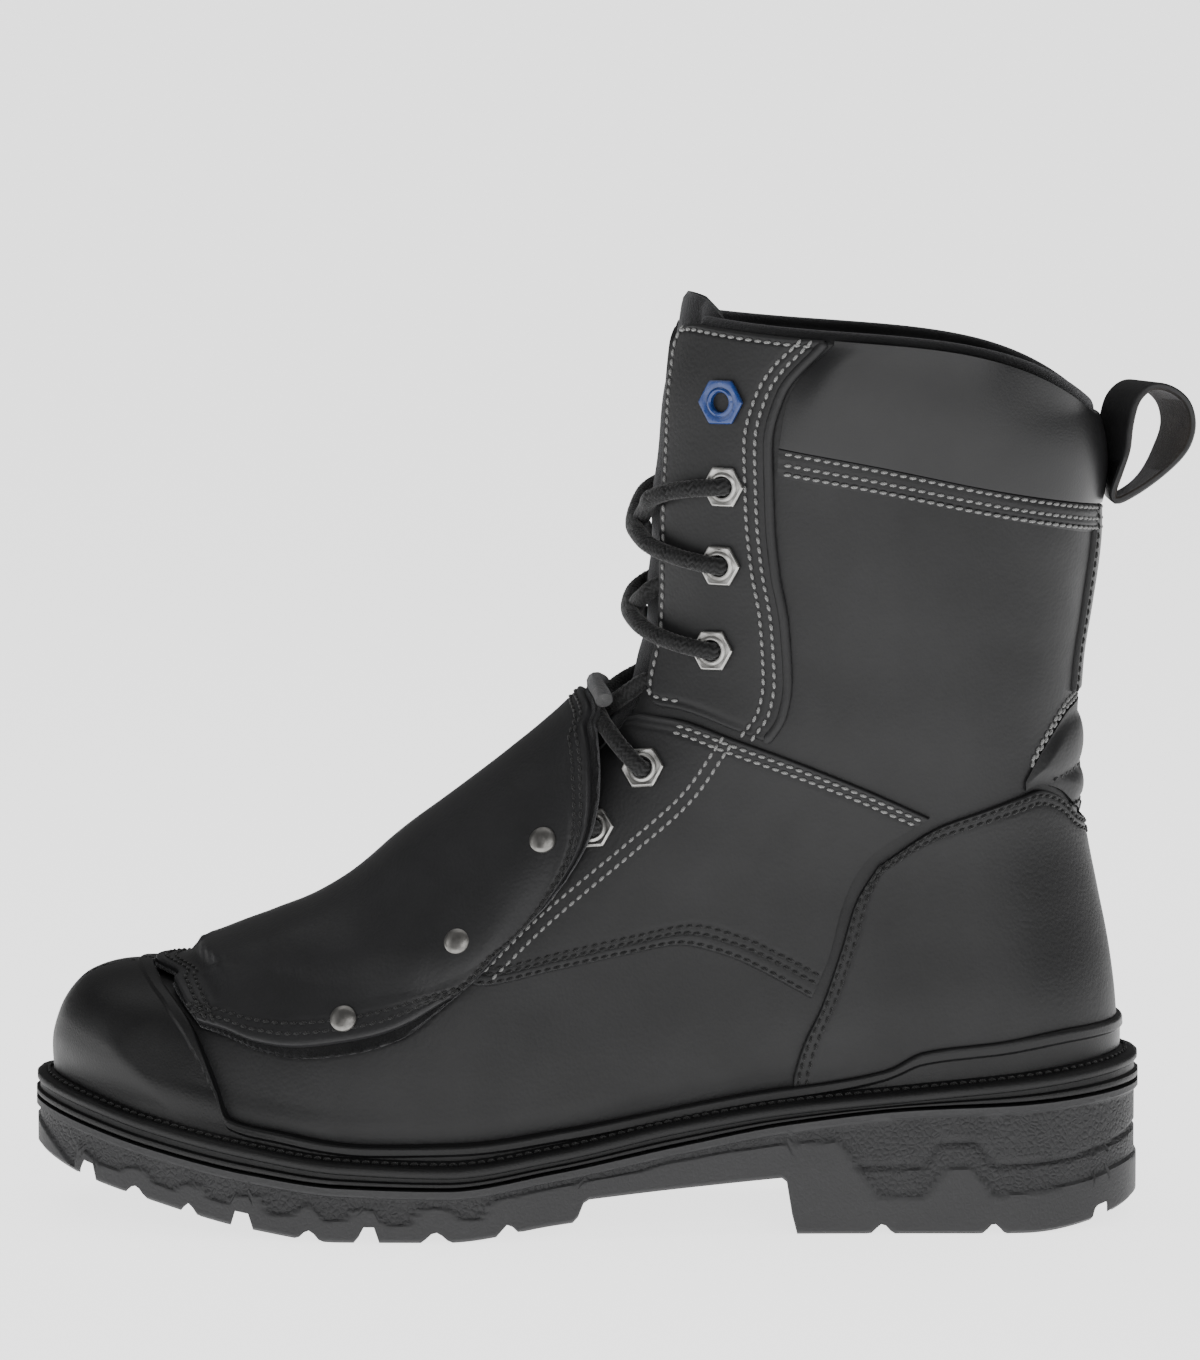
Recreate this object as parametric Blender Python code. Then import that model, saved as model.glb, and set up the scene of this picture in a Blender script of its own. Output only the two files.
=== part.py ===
"""Metatarsal guard boot: an eight inch lace-up work boot for the left foot, with an outer
metatarsal guard over the instep.

Metres, +Z up. The toe points to -X, the heel to +X, and the outer (lateral) side to -Y.
The origin is under the middle of the boot, on the floor.
"""
import math

import bmesh
import bpy
import numpy as np
from mathutils import Matrix, Vector

MM = 0.001

# Driving sizes, in millimetres

TOE_TIP = -163.8
HEEL_END = 151.6
TOE_ROUND = 75.0
HEEL_ROUND = 45.0
TOE_POWER = 2.3
HEEL_POWER = 2.2
UPPER_LEDGE = 8.5

GAP = 0.3
LAYER_GAP = 0.8
SOLE_SEAT = 0.7
UPPER_WALL = 2.2
RAND_THICK = 2.0
OVERLAY_THICK = 1.5
WELT_THICK = 2.2
WELT_RISE = 2.3

# Outsole bottom and side lines, a row for each station along the boot.
# lateral and medial are half widths before the toe and the heel are rounded.
SOLE_COLUMNS = ("x", "lateral", "medial", "tread", "outsole_top", "welt_edge")
SOLE_STATIONS = (
    (-164.0, 44.0, 54.0, 20.5, 34.6, 40.6),
    (-148.0, 46.0, 55.0, 14.2, 29.8, 36.0),
    (-130.0, 48.0, 56.0, 9.6, 25.0, 31.0),
    (-100.0, 53.0, 57.0, 3.0, 19.2, 25.0),
    (-75.0, 56.0, 54.5, 0.0, 16.2, 21.4),
    (-45.0, 55.5, 49.0, 0.0, 15.4, 20.2),
    (-15.0, 50.0, 42.5, 3.9, 19.5, 24.0),
    (20.0, 43.5, 39.0, 8.0, 26.2, 31.1),
    (50.0, 41.0, 39.0, 11.0, 31.8, 35.9),
    (85.0, 40.5, 40.0, 0.0, 35.8, 39.5),
    (115.0, 40.5, 40.5, 0.0, 37.2, 42.6),
    (152.0, 40.0, 40.0, 0.0, 40.0, 47.0),
)
FOREFOOT_END = -9.0
HEEL_BREAST = 52.5
BREAST_SLOPE = 2.5
ARCH_FRONT_Z = 10.6
ARCH_REAR_Z = 16.2
HEEL_BEVEL_START = 118.0
HEEL_BEVEL_RISE = 7.0

# Rings of the upper's outer form, a row for each ring from the feather line to the collar.
# front and back are the ring's ends in the side view, follow is how far it dips with the
# feather line, and lift raises its rear half over a straight line.
RING_COLUMNS = ("v", "front_x", "front_z", "back_x", "back_z", "follow", "lift")
RINGS = (
    (0.00, -155.4, 36.4, 143.1, 44.2, 1.00, 0.0),
    (0.06, -156.2, 48.0, 143.5, 52.0, 0.90, 0.0),
    (0.12, -154.2, 57.0, 143.0, 62.0, 0.78, 0.0),
    (0.18, -147.2, 65.8, 141.6, 73.0, 0.62, 0.0),
    (0.24, -136.0, 68.8, 139.8, 83.0, 0.46, 0.0),
    (0.31, -118.0, 69.3, 137.6, 93.0, 0.34, 0.0),
    (0.39, -95.0, 74.8, 135.4, 104.0, 0.22, 0.0),
    (0.47, -67.0, 90.0, 133.6, 116.0, 0.12, 0.0),
    (0.55, -38.0, 110.0, 132.6, 129.0, 0.05, 0.0),
    (0.63, -12.0, 130.8, 132.6, 143.0, 0.00, 1.0),
    (0.70, 3.5, 148.0, 133.6, 157.0, 0.00, 2.0),
    (0.78, 9.6, 171.0, 136.2, 175.0, 0.00, 3.0),
    (0.87, 11.4, 202.0, 138.6, 197.0, 0.00, 5.0),
    (0.94, 13.8, 231.0, 138.0, 214.0, 0.00, 8.0),
    (1.00, 17.6, 256.5, 136.8, 229.0, 0.00, 9.5),
)

# How the sides lean in above the feather line, as a share of the width there.
LEAN_COLUMNS = ("rise", "forefoot", "heel")
SIDE_LEAN = (
    (0.0, 1.00, 1.00),
    (6.0, 1.00, 1.00),
    (14.0, 1.03, 1.04),
    (25.0, 1.02, 1.06),
    (45.0, 0.97, 1.02),
    (70.0, 0.90, 0.98),
    (110.0, 0.84, 0.98),
)

# Half widths of the shaft by height, and the radius that rounds its front and back.
SHAFT_COLUMNS = ("z", "half_width")
SHAFT_LEVELS = (
    (90.0, 34.5),
    (120.0, 35.5),
    (150.0, 37.0),
    (185.0, 39.5),
    (220.0, 42.0),
    (258.0, 44.5),
)
SHAFT_FROM = 80.0
SHAFT_FULL = 150.0

# Rounding of the top of the foot and of the front of the shaft, by station.
CROWN_COLUMNS = ("x", "radius")
CROWN = (
    (-157.0, 34.0),
    (-115.0, 36.0),
    (-70.0, 43.0),
    (-20.0, 46.0),
    (20.0, 50.0),
)
TOE_CENTRE_SHIFT = 4.0


def column(rows, names, key):
    """One named column of a table, as an array."""
    return np.array([row[names.index(key)] for row in rows])


def smooth_track(xs, ys):
    """A function through the points that never overshoots them (monotone cubic)."""
    xs = np.asarray(xs, float)
    ys = np.asarray(ys, float)
    steps = np.diff(xs)
    slopes = np.diff(ys) / steps
    tangents = np.zeros(len(xs))
    tangents[0] = slopes[0]
    tangents[-1] = slopes[-1]
    for i in range(1, len(xs) - 1):
        before = slopes[i - 1]
        after = slopes[i]
        if before * after > 0:
            near = 2 * steps[i] + steps[i - 1]
            far = steps[i] + 2 * steps[i - 1]
            tangents[i] = (near + far) / (near / before + far / after)

    def value(x):
        x = np.clip(np.asarray(x, float), xs[0], xs[-1])
        i = np.clip(np.searchsorted(xs, x) - 1, 0, len(xs) - 2)
        width = steps[i]
        t = (x - xs[i]) / width
        keep = (1 + 2 * t) * (1 - t) ** 2
        return (keep * ys[i] + (1 - keep) * ys[i + 1]
                + t * (1 - t) ** 2 * width * tangents[i]
                - t * t * (1 - t) * width * tangents[i + 1])

    return value


def table_track(rows, names, across, key):
    return smooth_track(column(rows, names, across), column(rows, names, key))


def smoothstep(low, high, value):
    t = np.clip((np.asarray(value, float) - low) / (high - low), 0.0, 1.0)
    return t * t * (3 - 2 * t)


def rounding(t, power):
    """Rises from 0 at an edge to 1 at t = 1, square to the edge like a superellipse."""
    t = np.clip(t, 0.0, 1.0)
    return (1 - (1 - t) ** power) ** (1 / power)


SOLE = {key: table_track(SOLE_STATIONS, SOLE_COLUMNS, "x", key) for key in SOLE_COLUMNS[1:]}
RING = {key: table_track(RINGS, RING_COLUMNS, "v", key) for key in RING_COLUMNS[1:]}
LEAN = {key: table_track(SIDE_LEAN, LEAN_COLUMNS, "rise", key) for key in LEAN_COLUMNS[1:]}
SHAFT_HALF = table_track(SHAFT_LEVELS, SHAFT_COLUMNS, "z", "half_width")
CROWN_RADIUS = table_track(CROWN, CROWN_COLUMNS, "x", "radius")


def side_half(x, side, inset=0.0):
    """Half width of the plan outline at x, drawn in by inset. side is -1 lateral, 1 medial."""
    full = np.where(np.asarray(side) < 0, SOLE["lateral"](x), SOLE["medial"](x)) - inset
    toe = rounding((x - TOE_TIP - inset) / (TOE_ROUND - inset), TOE_POWER)
    heel = rounding((HEEL_END - inset - x) / (HEEL_ROUND - inset), HEEL_POWER)
    return full * toe * heel


def feather_z(x):
    return SOLE["welt_edge"](x) - WELT_THICK + SOLE_SEAT


def ring_line(theta, v):
    """Side view point of the ring v at the angle theta, 0 at the front and pi at the back."""
    share = (1 - np.cos(theta)) / 2
    front_x = RING["front_x"](v)
    back_x = RING["back_x"](v)
    front_z = RING["front_z"](v)
    x = front_x + (back_x - front_x) * share
    chord = front_z + (RING["back_z"](v) - front_z) * share
    feather_front = RING["front_x"](0.0)
    feather_back = RING["back_x"](0.0)
    low_share = np.clip((x - feather_front) / (feather_back - feather_front), 0.0, 1.0)
    low_z = RING["front_z"](0.0)
    low_chord = low_z + (RING["back_z"](0.0) - low_z) * low_share
    dip = RING["follow"](v) * (feather_z(x) - low_chord)
    dip = dip * (1 - np.cos(theta) ** 6 * np.clip(v / 0.06, 0.0, 1.0))
    turn = np.clip(np.abs(theta) / math.pi, 0.0, 1.0)
    lift = RING["lift"](v) * np.sin(math.pi * turn ** 1.6) ** 2
    return x, chord + dip + lift


PROFILE_STEPS = np.linspace(0.0, 1.0, 241)
FRONT_LINE = np.stack([RING["front_x"](PROFILE_STEPS), RING["front_z"](PROFILE_STEPS)], axis=1)
BACK_LINE = np.stack([RING["back_x"](PROFILE_STEPS), RING["back_z"](PROFILE_STEPS)], axis=1)


LOW_RINGS = [row for row in RINGS if row[0] < 0.2]
TOE_FRONT = smooth_track([row[2] for row in LOW_RINGS], [row[1] for row in LOW_RINGS])
HEEL_BACK = smooth_track([row[4] for row in LOW_RINGS], [row[3] for row in LOW_RINGS])


def line_distance(x, z, line):
    """Shortest distance in the side view from each point to a profile line."""
    start = line[:-1]
    along = line[1:] - start
    offset = np.stack([np.asarray(x), np.asarray(z)], axis=-1)[..., None, :] - start
    share = np.clip((offset * along).sum(-1) / (along ** 2).sum(-1), 0.0, 1.0)
    gap = offset - share[..., None] * along
    return np.sqrt((gap ** 2).sum(-1).min(-1))


def half_width(x, z, side):
    """Half width of the upper's outer form at a side view point."""
    rise = z - feather_z(x)
    foot = np.where(np.asarray(side) < 0, SOLE["lateral"](x), SOLE["medial"](x)) - UPPER_LEDGE
    heel_share = smoothstep(-20.0, 60.0, x)
    lean = LEAN["forefoot"](rise) * (1 - heel_share) + LEAN["heel"](rise) * heel_share
    shaft_share = smoothstep(SHAFT_FROM, SHAFT_FULL, z)
    width = foot * lean * (1 - shaft_share) + SHAFT_HALF(z) * shaft_share
    near_feather = 1 - smoothstep(0.0, 16.0, rise)
    front = line_distance(x, z, FRONT_LINE)
    plan_front = np.maximum(x - TOE_FRONT(z), front)
    front = front * (1 - near_feather) + plan_front * near_feather
    plan_radius = TOE_ROUND - UPPER_LEDGE
    crown = plan_radius + (CROWN_RADIUS(x) - plan_radius) * smoothstep(4.0, 36.0, rise)
    back = line_distance(x, z, BACK_LINE)
    plan_back = np.maximum(HEEL_BACK(z) - x, back)
    back = back * (1 - near_feather) + plan_back * near_feather
    heel_radius = HEEL_ROUND - UPPER_LEDGE + 6.0 * smoothstep(60.0, 200.0, z)
    return width * rounding(front / crown, TOE_POWER) * rounding(back / heel_radius, HEEL_POWER)


def centre_y(x):
    """The toe's middle swings a little to the inner side."""
    return TOE_CENTRE_SHIFT * smoothstep(-40.0, -150.0, x)


def form(theta, v):
    """Point of the upper's outer form. theta runs 0 at the front to pi at the back,
    negative on the lateral side, and v from 0 at the feather line to 1 at the collar."""
    theta, v = np.broadcast_arrays(np.asarray(theta, float), np.asarray(v, float))
    side = np.where(theta < 0, -1.0, 1.0)
    x, z = ring_line(np.abs(theta), v)
    y = side * half_width(x, z, side)
    return np.stack([x, y + centre_y(x), z], axis=-1)


def wrap(theta):
    """Angles past the back of the heel come round to the other side."""
    return (np.asarray(theta, float) + math.pi) % (2 * math.pi) - math.pi


def form_normal(theta, v):
    step = 0.004
    across = form(wrap(theta + step), v) - form(wrap(theta - step), v)
    up = form(wrap(theta), np.minimum(v + step, 1.0)) - form(wrap(theta), np.maximum(v - step, 0.0))
    normal = np.cross(up, across)
    return normal / np.linalg.norm(normal, axis=-1, keepdims=True)


def skin(theta, v, offset):
    """Point at a height above (or, negative, below) the upper's outer form."""
    theta, v, offset = np.broadcast_arrays(theta, v, offset)
    return form(wrap(theta), v) + form_normal(theta, v) * offset[..., None]


def locate(x, z):
    """The ring angle and ring value of side view points on the form."""
    x = np.asarray(x, float)
    z = np.asarray(z, float)
    low = np.zeros_like(x)
    high = np.ones_like(x)
    for _ in range(40):
        middle = (low + high) / 2
        span = RING["back_x"](middle) - RING["front_x"](middle)
        share = np.clip((x - RING["front_x"](middle)) / span, 0.0, 1.0)
        theta = np.arccos(1 - 2 * share)
        above = ring_line(theta, middle)[1] > z
        high = np.where(above, middle, high)
        low = np.where(above, low, middle)
    return theta, (low + high) / 2


def seam(points, side=-1.0):
    """A seam drawn in the side view, as ring angles and values on one side."""
    theta, v = locate([p[0] for p in points], [p[1] for p in points])
    if side < 0:
        theta = -theta
    return np.stack([theta, v], axis=1)


def resample(line, count):
    """The same line with evenly spaced points."""
    line = np.asarray(line, float)
    steps = np.linalg.norm(np.diff(line, axis=0), axis=1)
    along = np.concatenate([[0.0], np.cumsum(steps)])
    places = np.linspace(0.0, along[-1], count)
    return np.stack([np.interp(places, along, line[:, k]) for k in range(line.shape[1])], axis=1)


def curve_through(points, count):
    """Smooth line through hand-placed points."""
    points = np.asarray(points, float)
    steps = np.linalg.norm(np.diff(points, axis=0), axis=1)
    along = np.concatenate([[0.0], np.cumsum(steps)])
    places = np.linspace(0.0, along[-1], count * 4)
    tracks = [smooth_track(along, points[:, k])(places) for k in range(points.shape[1])]
    return resample(np.stack(tracks, axis=1), count)


def patch(start, end, left, right):
    """Fills four edge lines. start and end run left to right, left and right run from
    start to end. Gives ring angles and values, a row for each point of left."""
    across = np.linspace(0.0, 1.0, len(start))[None, :, None]
    along = np.linspace(0.0, 1.0, len(left))[:, None, None]
    ruled = (1 - along) * start[None] + along * end[None]
    ruled = ruled + (1 - across) * left[:, None] + across * right[:, None]
    corners = (1 - along) * ((1 - across) * start[0] + across * start[-1])
    corners = corners + along * ((1 - across) * end[0] + across * end[-1])
    return ruled - corners


def grid_solid(name, outer, inner, material, seam_rows=0, ring=False):
    """Closed solid between two grids of points. seam_rows rows, counted from the first,
    have their first and last columns joined; ring joins them in every row."""
    rows, columns = outer.shape[:2]
    mesh = bmesh.new()
    grids = []
    for grid in (outer, inner):
        grids.append([[mesh.verts.new(point * MM) for point in row] for row in grid])
    top, bottom = grids
    for r in range(rows - 1):
        for c in range(columns - 1):
            mesh.faces.new((top[r][c], top[r][c + 1], top[r + 1][c + 1], top[r + 1][c]))
            mesh.faces.new((bottom[r][c], bottom[r + 1][c], bottom[r + 1][c + 1], bottom[r][c + 1]))
    for c in range(columns - 1):
        mesh.faces.new((top[0][c + 1], top[0][c], bottom[0][c], bottom[0][c + 1]))
        mesh.faces.new((top[-1][c], top[-1][c + 1], bottom[-1][c + 1], bottom[-1][c]))
    if not ring:
        for r in range(max(seam_rows - 1, 0), rows - 1):
            mesh.faces.new((top[r][0], top[r + 1][0], bottom[r + 1][0], bottom[r][0]))
            mesh.faces.new((top[r + 1][-1], top[r][-1], bottom[r][-1], bottom[r + 1][-1]))
    return finish_mesh(name, mesh, material)


def finish_mesh(name, mesh, material, sharp=math.radians(40)):
    bmesh.ops.remove_doubles(mesh, verts=mesh.verts, dist=1e-6)
    bmesh.ops.recalc_face_normals(mesh, faces=mesh.faces)
    if mesh.calc_volume(signed=True) < 0:
        bmesh.ops.reverse_faces(mesh, faces=mesh.faces)
    data = bpy.data.meshes.new(name)
    mesh.to_mesh(data)
    mesh.free()
    data.materials.append(material)
    data.shade_smooth()
    data.set_sharp_from_angle(angle=sharp)
    piece = bpy.data.objects.new(name, data)
    bpy.context.scene.collection.objects.link(piece)
    return piece


def plain_material(name, colour, roughness, metallic=0.0):
    material = bpy.data.materials.new(name)
    material.use_nodes = True
    shader = material.node_tree.nodes["Principled BSDF"]
    shader.inputs["Base Color"].default_value = (*colour, 1.0)
    shader.inputs["Roughness"].default_value = roughness
    shader.inputs["Metallic"].default_value = metallic
    return material


# Sole

SOLE_STEPS = 22


def sole_shares():
    """Shares of the length where the sole has a section, with the steps of the forefoot
    tread and of the heel breast among them."""
    length = HEEL_END - TOE_TIP
    breaks = (FOREFOOT_END, FOREFOOT_END + BREAST_SLOPE, HEEL_BREAST - BREAST_SLOPE, HEEL_BREAST)
    fixed = [(x - TOE_TIP) / length for x in breaks]
    shares = [(1 - math.cos(math.pi * i / SOLE_STEPS)) / 2 for i in range(SOLE_STEPS + 1)]
    clear = 0.018
    kept = [s for s in shares if all(abs(s - f) > clear for f in fixed)]
    return np.array(sorted(kept + fixed))


SHARES = sole_shares()
STATION_X = TOE_TIP + (HEEL_END - TOE_TIP) * SHARES


def outline_loop(inset, height):
    """Closed loop of the sole's outline, drawn in by inset, at a height worked out from x."""
    x = STATION_X + inset * (1 - 2 * SHARES) ** 5
    heights = height(x)
    lateral = np.stack([x, centre_y(x) - side_half(x, -1.0, inset), heights], axis=1)
    medial = np.stack([x, centre_y(x) + side_half(x, 1.0, inset), heights], axis=1)
    return np.concatenate([lateral, medial[-2:0:-1]])


def tread_z(x):
    """Underside of the outsole: forefoot with toe spring, arch, and heel with its bevel."""
    x = np.asarray(x, float)
    forefoot = SOLE["tread"](x)
    arch_share = (x - FOREFOOT_END) / (HEEL_BREAST - FOREFOOT_END)
    arch = ARCH_FRONT_Z + (ARCH_REAR_Z - ARCH_FRONT_Z) * np.clip(arch_share, 0.0, 1.0)
    bevel = np.clip((x - HEEL_BEVEL_START) / (HEEL_END - HEEL_BEVEL_START), 0.0, 1.0)
    heel = HEEL_BEVEL_RISE * bevel ** 1.8
    low = np.where(x < HEEL_BREAST - 0.01, arch, heel)
    return np.where(x <= FOREFOOT_END + 0.01, forefoot, low)


def stacked_solid(name, levels, material):
    """Solid from outline loops at falling levels, closed across by strips."""
    stations = len(SHARES)
    mesh = bmesh.new()
    loops = [[mesh.verts.new(point * MM) for point in outline_loop(inset, z)]
             for inset, z in levels]
    count = len(loops[0])
    for upper_loop, lower_loop in zip(loops, loops[1:]):
        for i in range(count):
            j = (i + 1) % count
            mesh.faces.new((upper_loop[i], upper_loop[j], lower_loop[j], lower_loop[i]))
    for loop in (loops[0], loops[-1]):
        for i in range(stations - 1):
            near = (count - i) % count
            strip = [loop[i], loop[i + 1], loop[(count - i - 1) % count], loop[near]]
            corners = list(dict.fromkeys(strip))
            mesh.faces.new(corners)
    return finish_mesh(name, mesh, material)


# Grooves across the tread: station, width at the floor, depth, and share of the width
# kept at the groove's bottom.
GROOVE_COLUMNS = ("x", "width", "depth", "crown")
TREAD_GROOVES = (
    (-147.0, 5.0, 4.6, 0.7),
    (-133.0, 6.4, 2.8, 0.2),
    (-117.5, 4.8, 2.8, 0.2),
    (-102.5, 5.6, 4.4, 0.7),
    (-83.5, 6.6, 2.9, 0.2),
    (-67.0, 5.8, 4.5, 0.7),
    (-48.0, 8.2, 3.0, 0.2),
    (-28.0, 6.0, 3.0, 0.2),
    (77.0, 6.4, 2.8, 0.2),
    (108.5, 6.4, 2.8, 0.2),
    (139.5, 5.0, 3.6, 0.7),
)
RIM_LUG = 17.0
TRENCH_WIDTH = 4.0
TRENCH_DEPTH = 4.2


def cutter(name, mesh):
    piece = finish_mesh(name, mesh, bpy.data.materials.new(name))
    piece.hide_render = True
    piece.display_type = "WIRE"
    return piece


def cut_from(piece, tool):
    cut = piece.modifiers.new(tool.name, "BOOLEAN")
    cut.operation = "DIFFERENCE"
    cut.solver = "EXACT"
    cut.object = tool


def prism(profile, direction):
    """Closed prism of a polygon of points, pushed along a direction."""
    mesh = bmesh.new()
    face = mesh.faces.new([mesh.verts.new(Vector(point) * MM) for point in profile])
    pushed = bmesh.ops.extrude_face_region(mesh, geom=[face])["geom"]
    moved = [item for item in pushed if isinstance(item, bmesh.types.BMVert)]
    bmesh.ops.translate(mesh, verts=moved, vec=Vector(direction) * MM)
    return mesh


def groove_cutter(index, x, width, depth, crown):
    """Straight groove across the whole tread, square to the local slope of its bottom."""
    reach = 70.0
    below = 4.0
    base = float(tread_z(x))
    slope = float(tread_z(x + 2.0) - tread_z(x - 2.0)) / 4.0
    half = width / 2
    profile = ((x - half, -reach, base - half * slope - below),
               (x - half, -reach, base - half * slope),
               (x - half * crown, -reach, base - half * crown * slope + depth),
               (x + half * crown, -reach, base + half * crown * slope + depth),
               (x + half, -reach, base + half * slope),
               (x + half, -reach, base + half * slope - below))
    return cutter("groove_%d" % index, prism(profile, (0.0, 2 * reach, 0.0)))


def trench_cutter(name, first_x, last_x, side):
    """Groove along the tread, a lug's width in from the edge."""
    stations = np.linspace(first_x, last_x, 7)
    below = 4.0
    mesh = bmesh.new()
    sections = []
    for x in stations:
        middle = float(centre_y(x) + side * side_half(x, side, RIM_LUG))
        z = float(tread_z(x))
        half = TRENCH_WIDTH / 2
        corners = ((middle - half, z - below), (middle + half, z - below),
                   (middle + half, z + TRENCH_DEPTH), (middle - half, z + TRENCH_DEPTH))
        sections.append([mesh.verts.new(Vector((x, y, height)) * MM) for y, height in corners])
    for section, following in zip(sections, sections[1:]):
        for i in range(4):
            j = (i + 1) % 4
            mesh.faces.new((section[i], section[j], following[j], following[i]))
    mesh.faces.new(sections[0])
    mesh.faces.new(sections[-1])
    return cutter(name, mesh)


def make_outsole(material):
    top = SOLE["outsole_top"]
    floor = tread_z(STATION_X)
    tall = top(STATION_X) - floor
    levels = ((0.7, top),
              (0.0, lambda x: top(x) - 0.9),
              (0.0, lambda x: top(x) - 3.0),
              (1.3, lambda x: top(x) - 4.0),
              (1.3, lambda x: floor + 0.50 * tall),
              (0.3, lambda x: floor + 0.42 * tall),
              (0.3, lambda x: floor + 1.3),
              (1.6, lambda x: floor))
    piece = stacked_solid("outsole", levels, material)
    for index, row in enumerate(TREAD_GROOVES, 1):
        cut_from(piece, groove_cutter(index, *row))
    for side, word in ((-1.0, "outer"), (1.0, "inner")):
        cut_from(piece, trench_cutter("trench_front_" + word, -138.0, -16.0, side))
        cut_from(piece, trench_cutter("trench_heel_" + word, 60.0, 128.0, side))
    return piece


def midsole_top_z(x):
    return SOLE["welt_edge"](x) - WELT_THICK


def make_midsole(material):
    def part_way(share):
        return lambda x: (1 - share) * (SOLE["outsole_top"](x) + GAP) + share * midsole_top_z(x)

    levels = ((1.2, part_way(1.0)), (1.2, part_way(0.6)), (0.2, part_way(0.4)), (0.2, part_way(0.0)))
    return stacked_solid("midsole", levels, material)


def make_insole(material):
    inset = UPPER_LEDGE + UPPER_WALL + INSOLE_GAP
    levels = ((inset, lambda x: midsole_top_z(x) + SOLE_SEAT + INSOLE_THICK),
              (inset, lambda x: midsole_top_z(x) + SOLE_SEAT))
    return stacked_solid("insole", levels, material)


INSOLE_THICK = 3.0
INSOLE_GAP = 2.0
WELT_INNER = UPPER_LEDGE - 1.1


def make_welt(material):
    """Strip round the upper, its top sloping down to a thin outer edge."""
    edge = SOLE["welt_edge"]
    levels = ((WELT_INNER, lambda x: midsole_top_z(x) + SOLE_SEAT),
              (WELT_INNER, lambda x: edge(x) + WELT_RISE),
              (1.0, lambda x: edge(x) + 0.2),
              (0.4, lambda x: edge(x) - 0.5),
              (0.4, lambda x: midsole_top_z(x) + SOLE_SEAT))
    mesh = bmesh.new()
    loops = [[mesh.verts.new(point * MM) for point in outline_loop(inset, z)]
             for inset, z in levels]
    count = len(loops[0])
    for a, b in zip(loops, loops[1:] + loops[:1]):
        for i in range(count):
            j = (i + 1) % count
            mesh.faces.new((a[i], a[j], b[j], b[i]))
    return finish_mesh("welt", mesh, material)


# Upper

# Ring angles of the upper's columns in degrees, closer together by the toe cap's rear edge.
HALF_COLUMNS = (0, 5, 10, 16, 22, 28, 33, 38, 42, 46, 50, 57, 66, 77, 90, 105, 120, 135, 150, 165,
                180)
COLUMN_THETA = np.radians(HALF_COLUMNS + tuple(360 - a for a in HALF_COLUMNS[-2::-1]))
RAND_ROWS = 8
TOE_ROWS = tuple(np.linspace(0.018, 0.245, RAND_ROWS))
UPPER_ROWS = (0.0, *TOE_ROWS, 0.31, 0.38, 0.43, 0.48, 0.53, 0.58, 0.64, 0.70, 0.76, 0.83, 0.90,
              0.935, 0.967, 1.0)
THROAT_COLUMNS = ("v", "half_gap")
THROAT = (
    (0.48, 0.0),
    (0.53, 11.0),
    (0.58, 15.0),
    (0.66, 18.0),
    (0.78, 19.5),
    (0.90, 19.0),
    (1.00, 15.5),
)
COLLAR_PADDING = 3.5
THROAT_GAP = table_track(THROAT, THROAT_COLUMNS, "v", "half_gap")


def throat_theta(v):
    """Ring angle of the throat's edge, where the upper is cut open to the half gap."""
    v = np.asarray(v, float)
    low = np.zeros_like(v)
    high = np.full_like(v, math.pi / 3)
    for _ in range(40):
        middle = (low + high) / 2
        x, z = ring_line(middle, v)
        wide = half_width(x, z, -1.0) > THROAT_GAP(v)
        high = np.where(wide, middle, high)
        low = np.where(wide, low, middle)
    return np.where(THROAT_GAP(v) > 0.01, (low + high) / 2, 0.0)


def upper_wall(v):
    """Leather and lining, thicker where the collar is padded."""
    return UPPER_WALL + COLLAR_PADDING * smoothstep(0.86, 0.93, v) * (1 - 0.6 * smoothstep(0.97, 1.0, v))


def make_upper(material):
    rows = np.array(UPPER_ROWS)[:, None]
    share = COLUMN_THETA[None, :] / (2 * math.pi)
    opening = throat_theta(rows)
    theta = opening + (2 * math.pi - 2 * opening) * share
    outer = skin(theta, rows, 0.0)
    inner = skin(theta, rows, -upper_wall(rows))
    inner[0, :, 2] = outer[0, :, 2]
    closed = sum(1 for v in UPPER_ROWS if THROAT_GAP(v) <= 0.01)
    return grid_solid("upper", outer, inner, material, seam_rows=closed)


# Rand and toe cap: one moulding. Its upper edge in the side view, from the cap's top to
# the heel, with the step up behind the arch.
RAND_EDGE = (
    (-160.0, 90.0), (-133.5, 71.5), (-128.0, 68.0), (-125.0, 65.0), (-121.0, 61.5),
    (-117.0, 57.5), (-113.0, 50.5), (-110.0, 43.5), (-105.5, 33.0), (-92.0, 30.0),
    (-66.0, 26.6), (-41.0, 27.0), (-10.0, 30.6), (35.0, 38.4), (78.0, 46.0), (88.0, 51.0),
    (110.0, 54.0), (130.0, 57.0), (145.0, 57.6),
)
RAND_SEAT = 3.0
RAND_GAP = 0.8


def rand_top_z(x):
    return smooth_track([p[0] for p in RAND_EDGE], [p[1] for p in RAND_EDGE])(x)


def ring_value_at(theta, height):
    """Ring value where each angle's column meets a height that is a function of x."""
    low = np.zeros_like(theta)
    high = np.ones_like(theta)
    for _ in range(40):
        middle = (low + high) / 2
        x, z = ring_line(np.abs(wrap(theta)), middle)
        above = z > height(x)
        high = np.where(above, middle, high)
        low = np.where(above, low, middle)
    return (low + high) / 2



def make_rand(material):
    theta = COLUMN_THETA
    low = ring_value_at(theta, lambda x: SOLE["welt_edge"](x) + RAND_SEAT)
    high = ring_value_at(theta, rand_top_z)
    share = np.linspace(0.0, 1.0, RAND_ROWS)[:, None]
    v = low + (high - low) * share
    outer = skin(theta[None, :], v, RAND_GAP + RAND_THICK)
    inner = skin(theta[None, :], v, RAND_GAP)
    outer[0, :, 2] = inner[0, :, 2]
    return grid_solid("rubber_rand", outer, inner, material, ring=True)


# Overlays, drawn in the side view on the upper's own form

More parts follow.
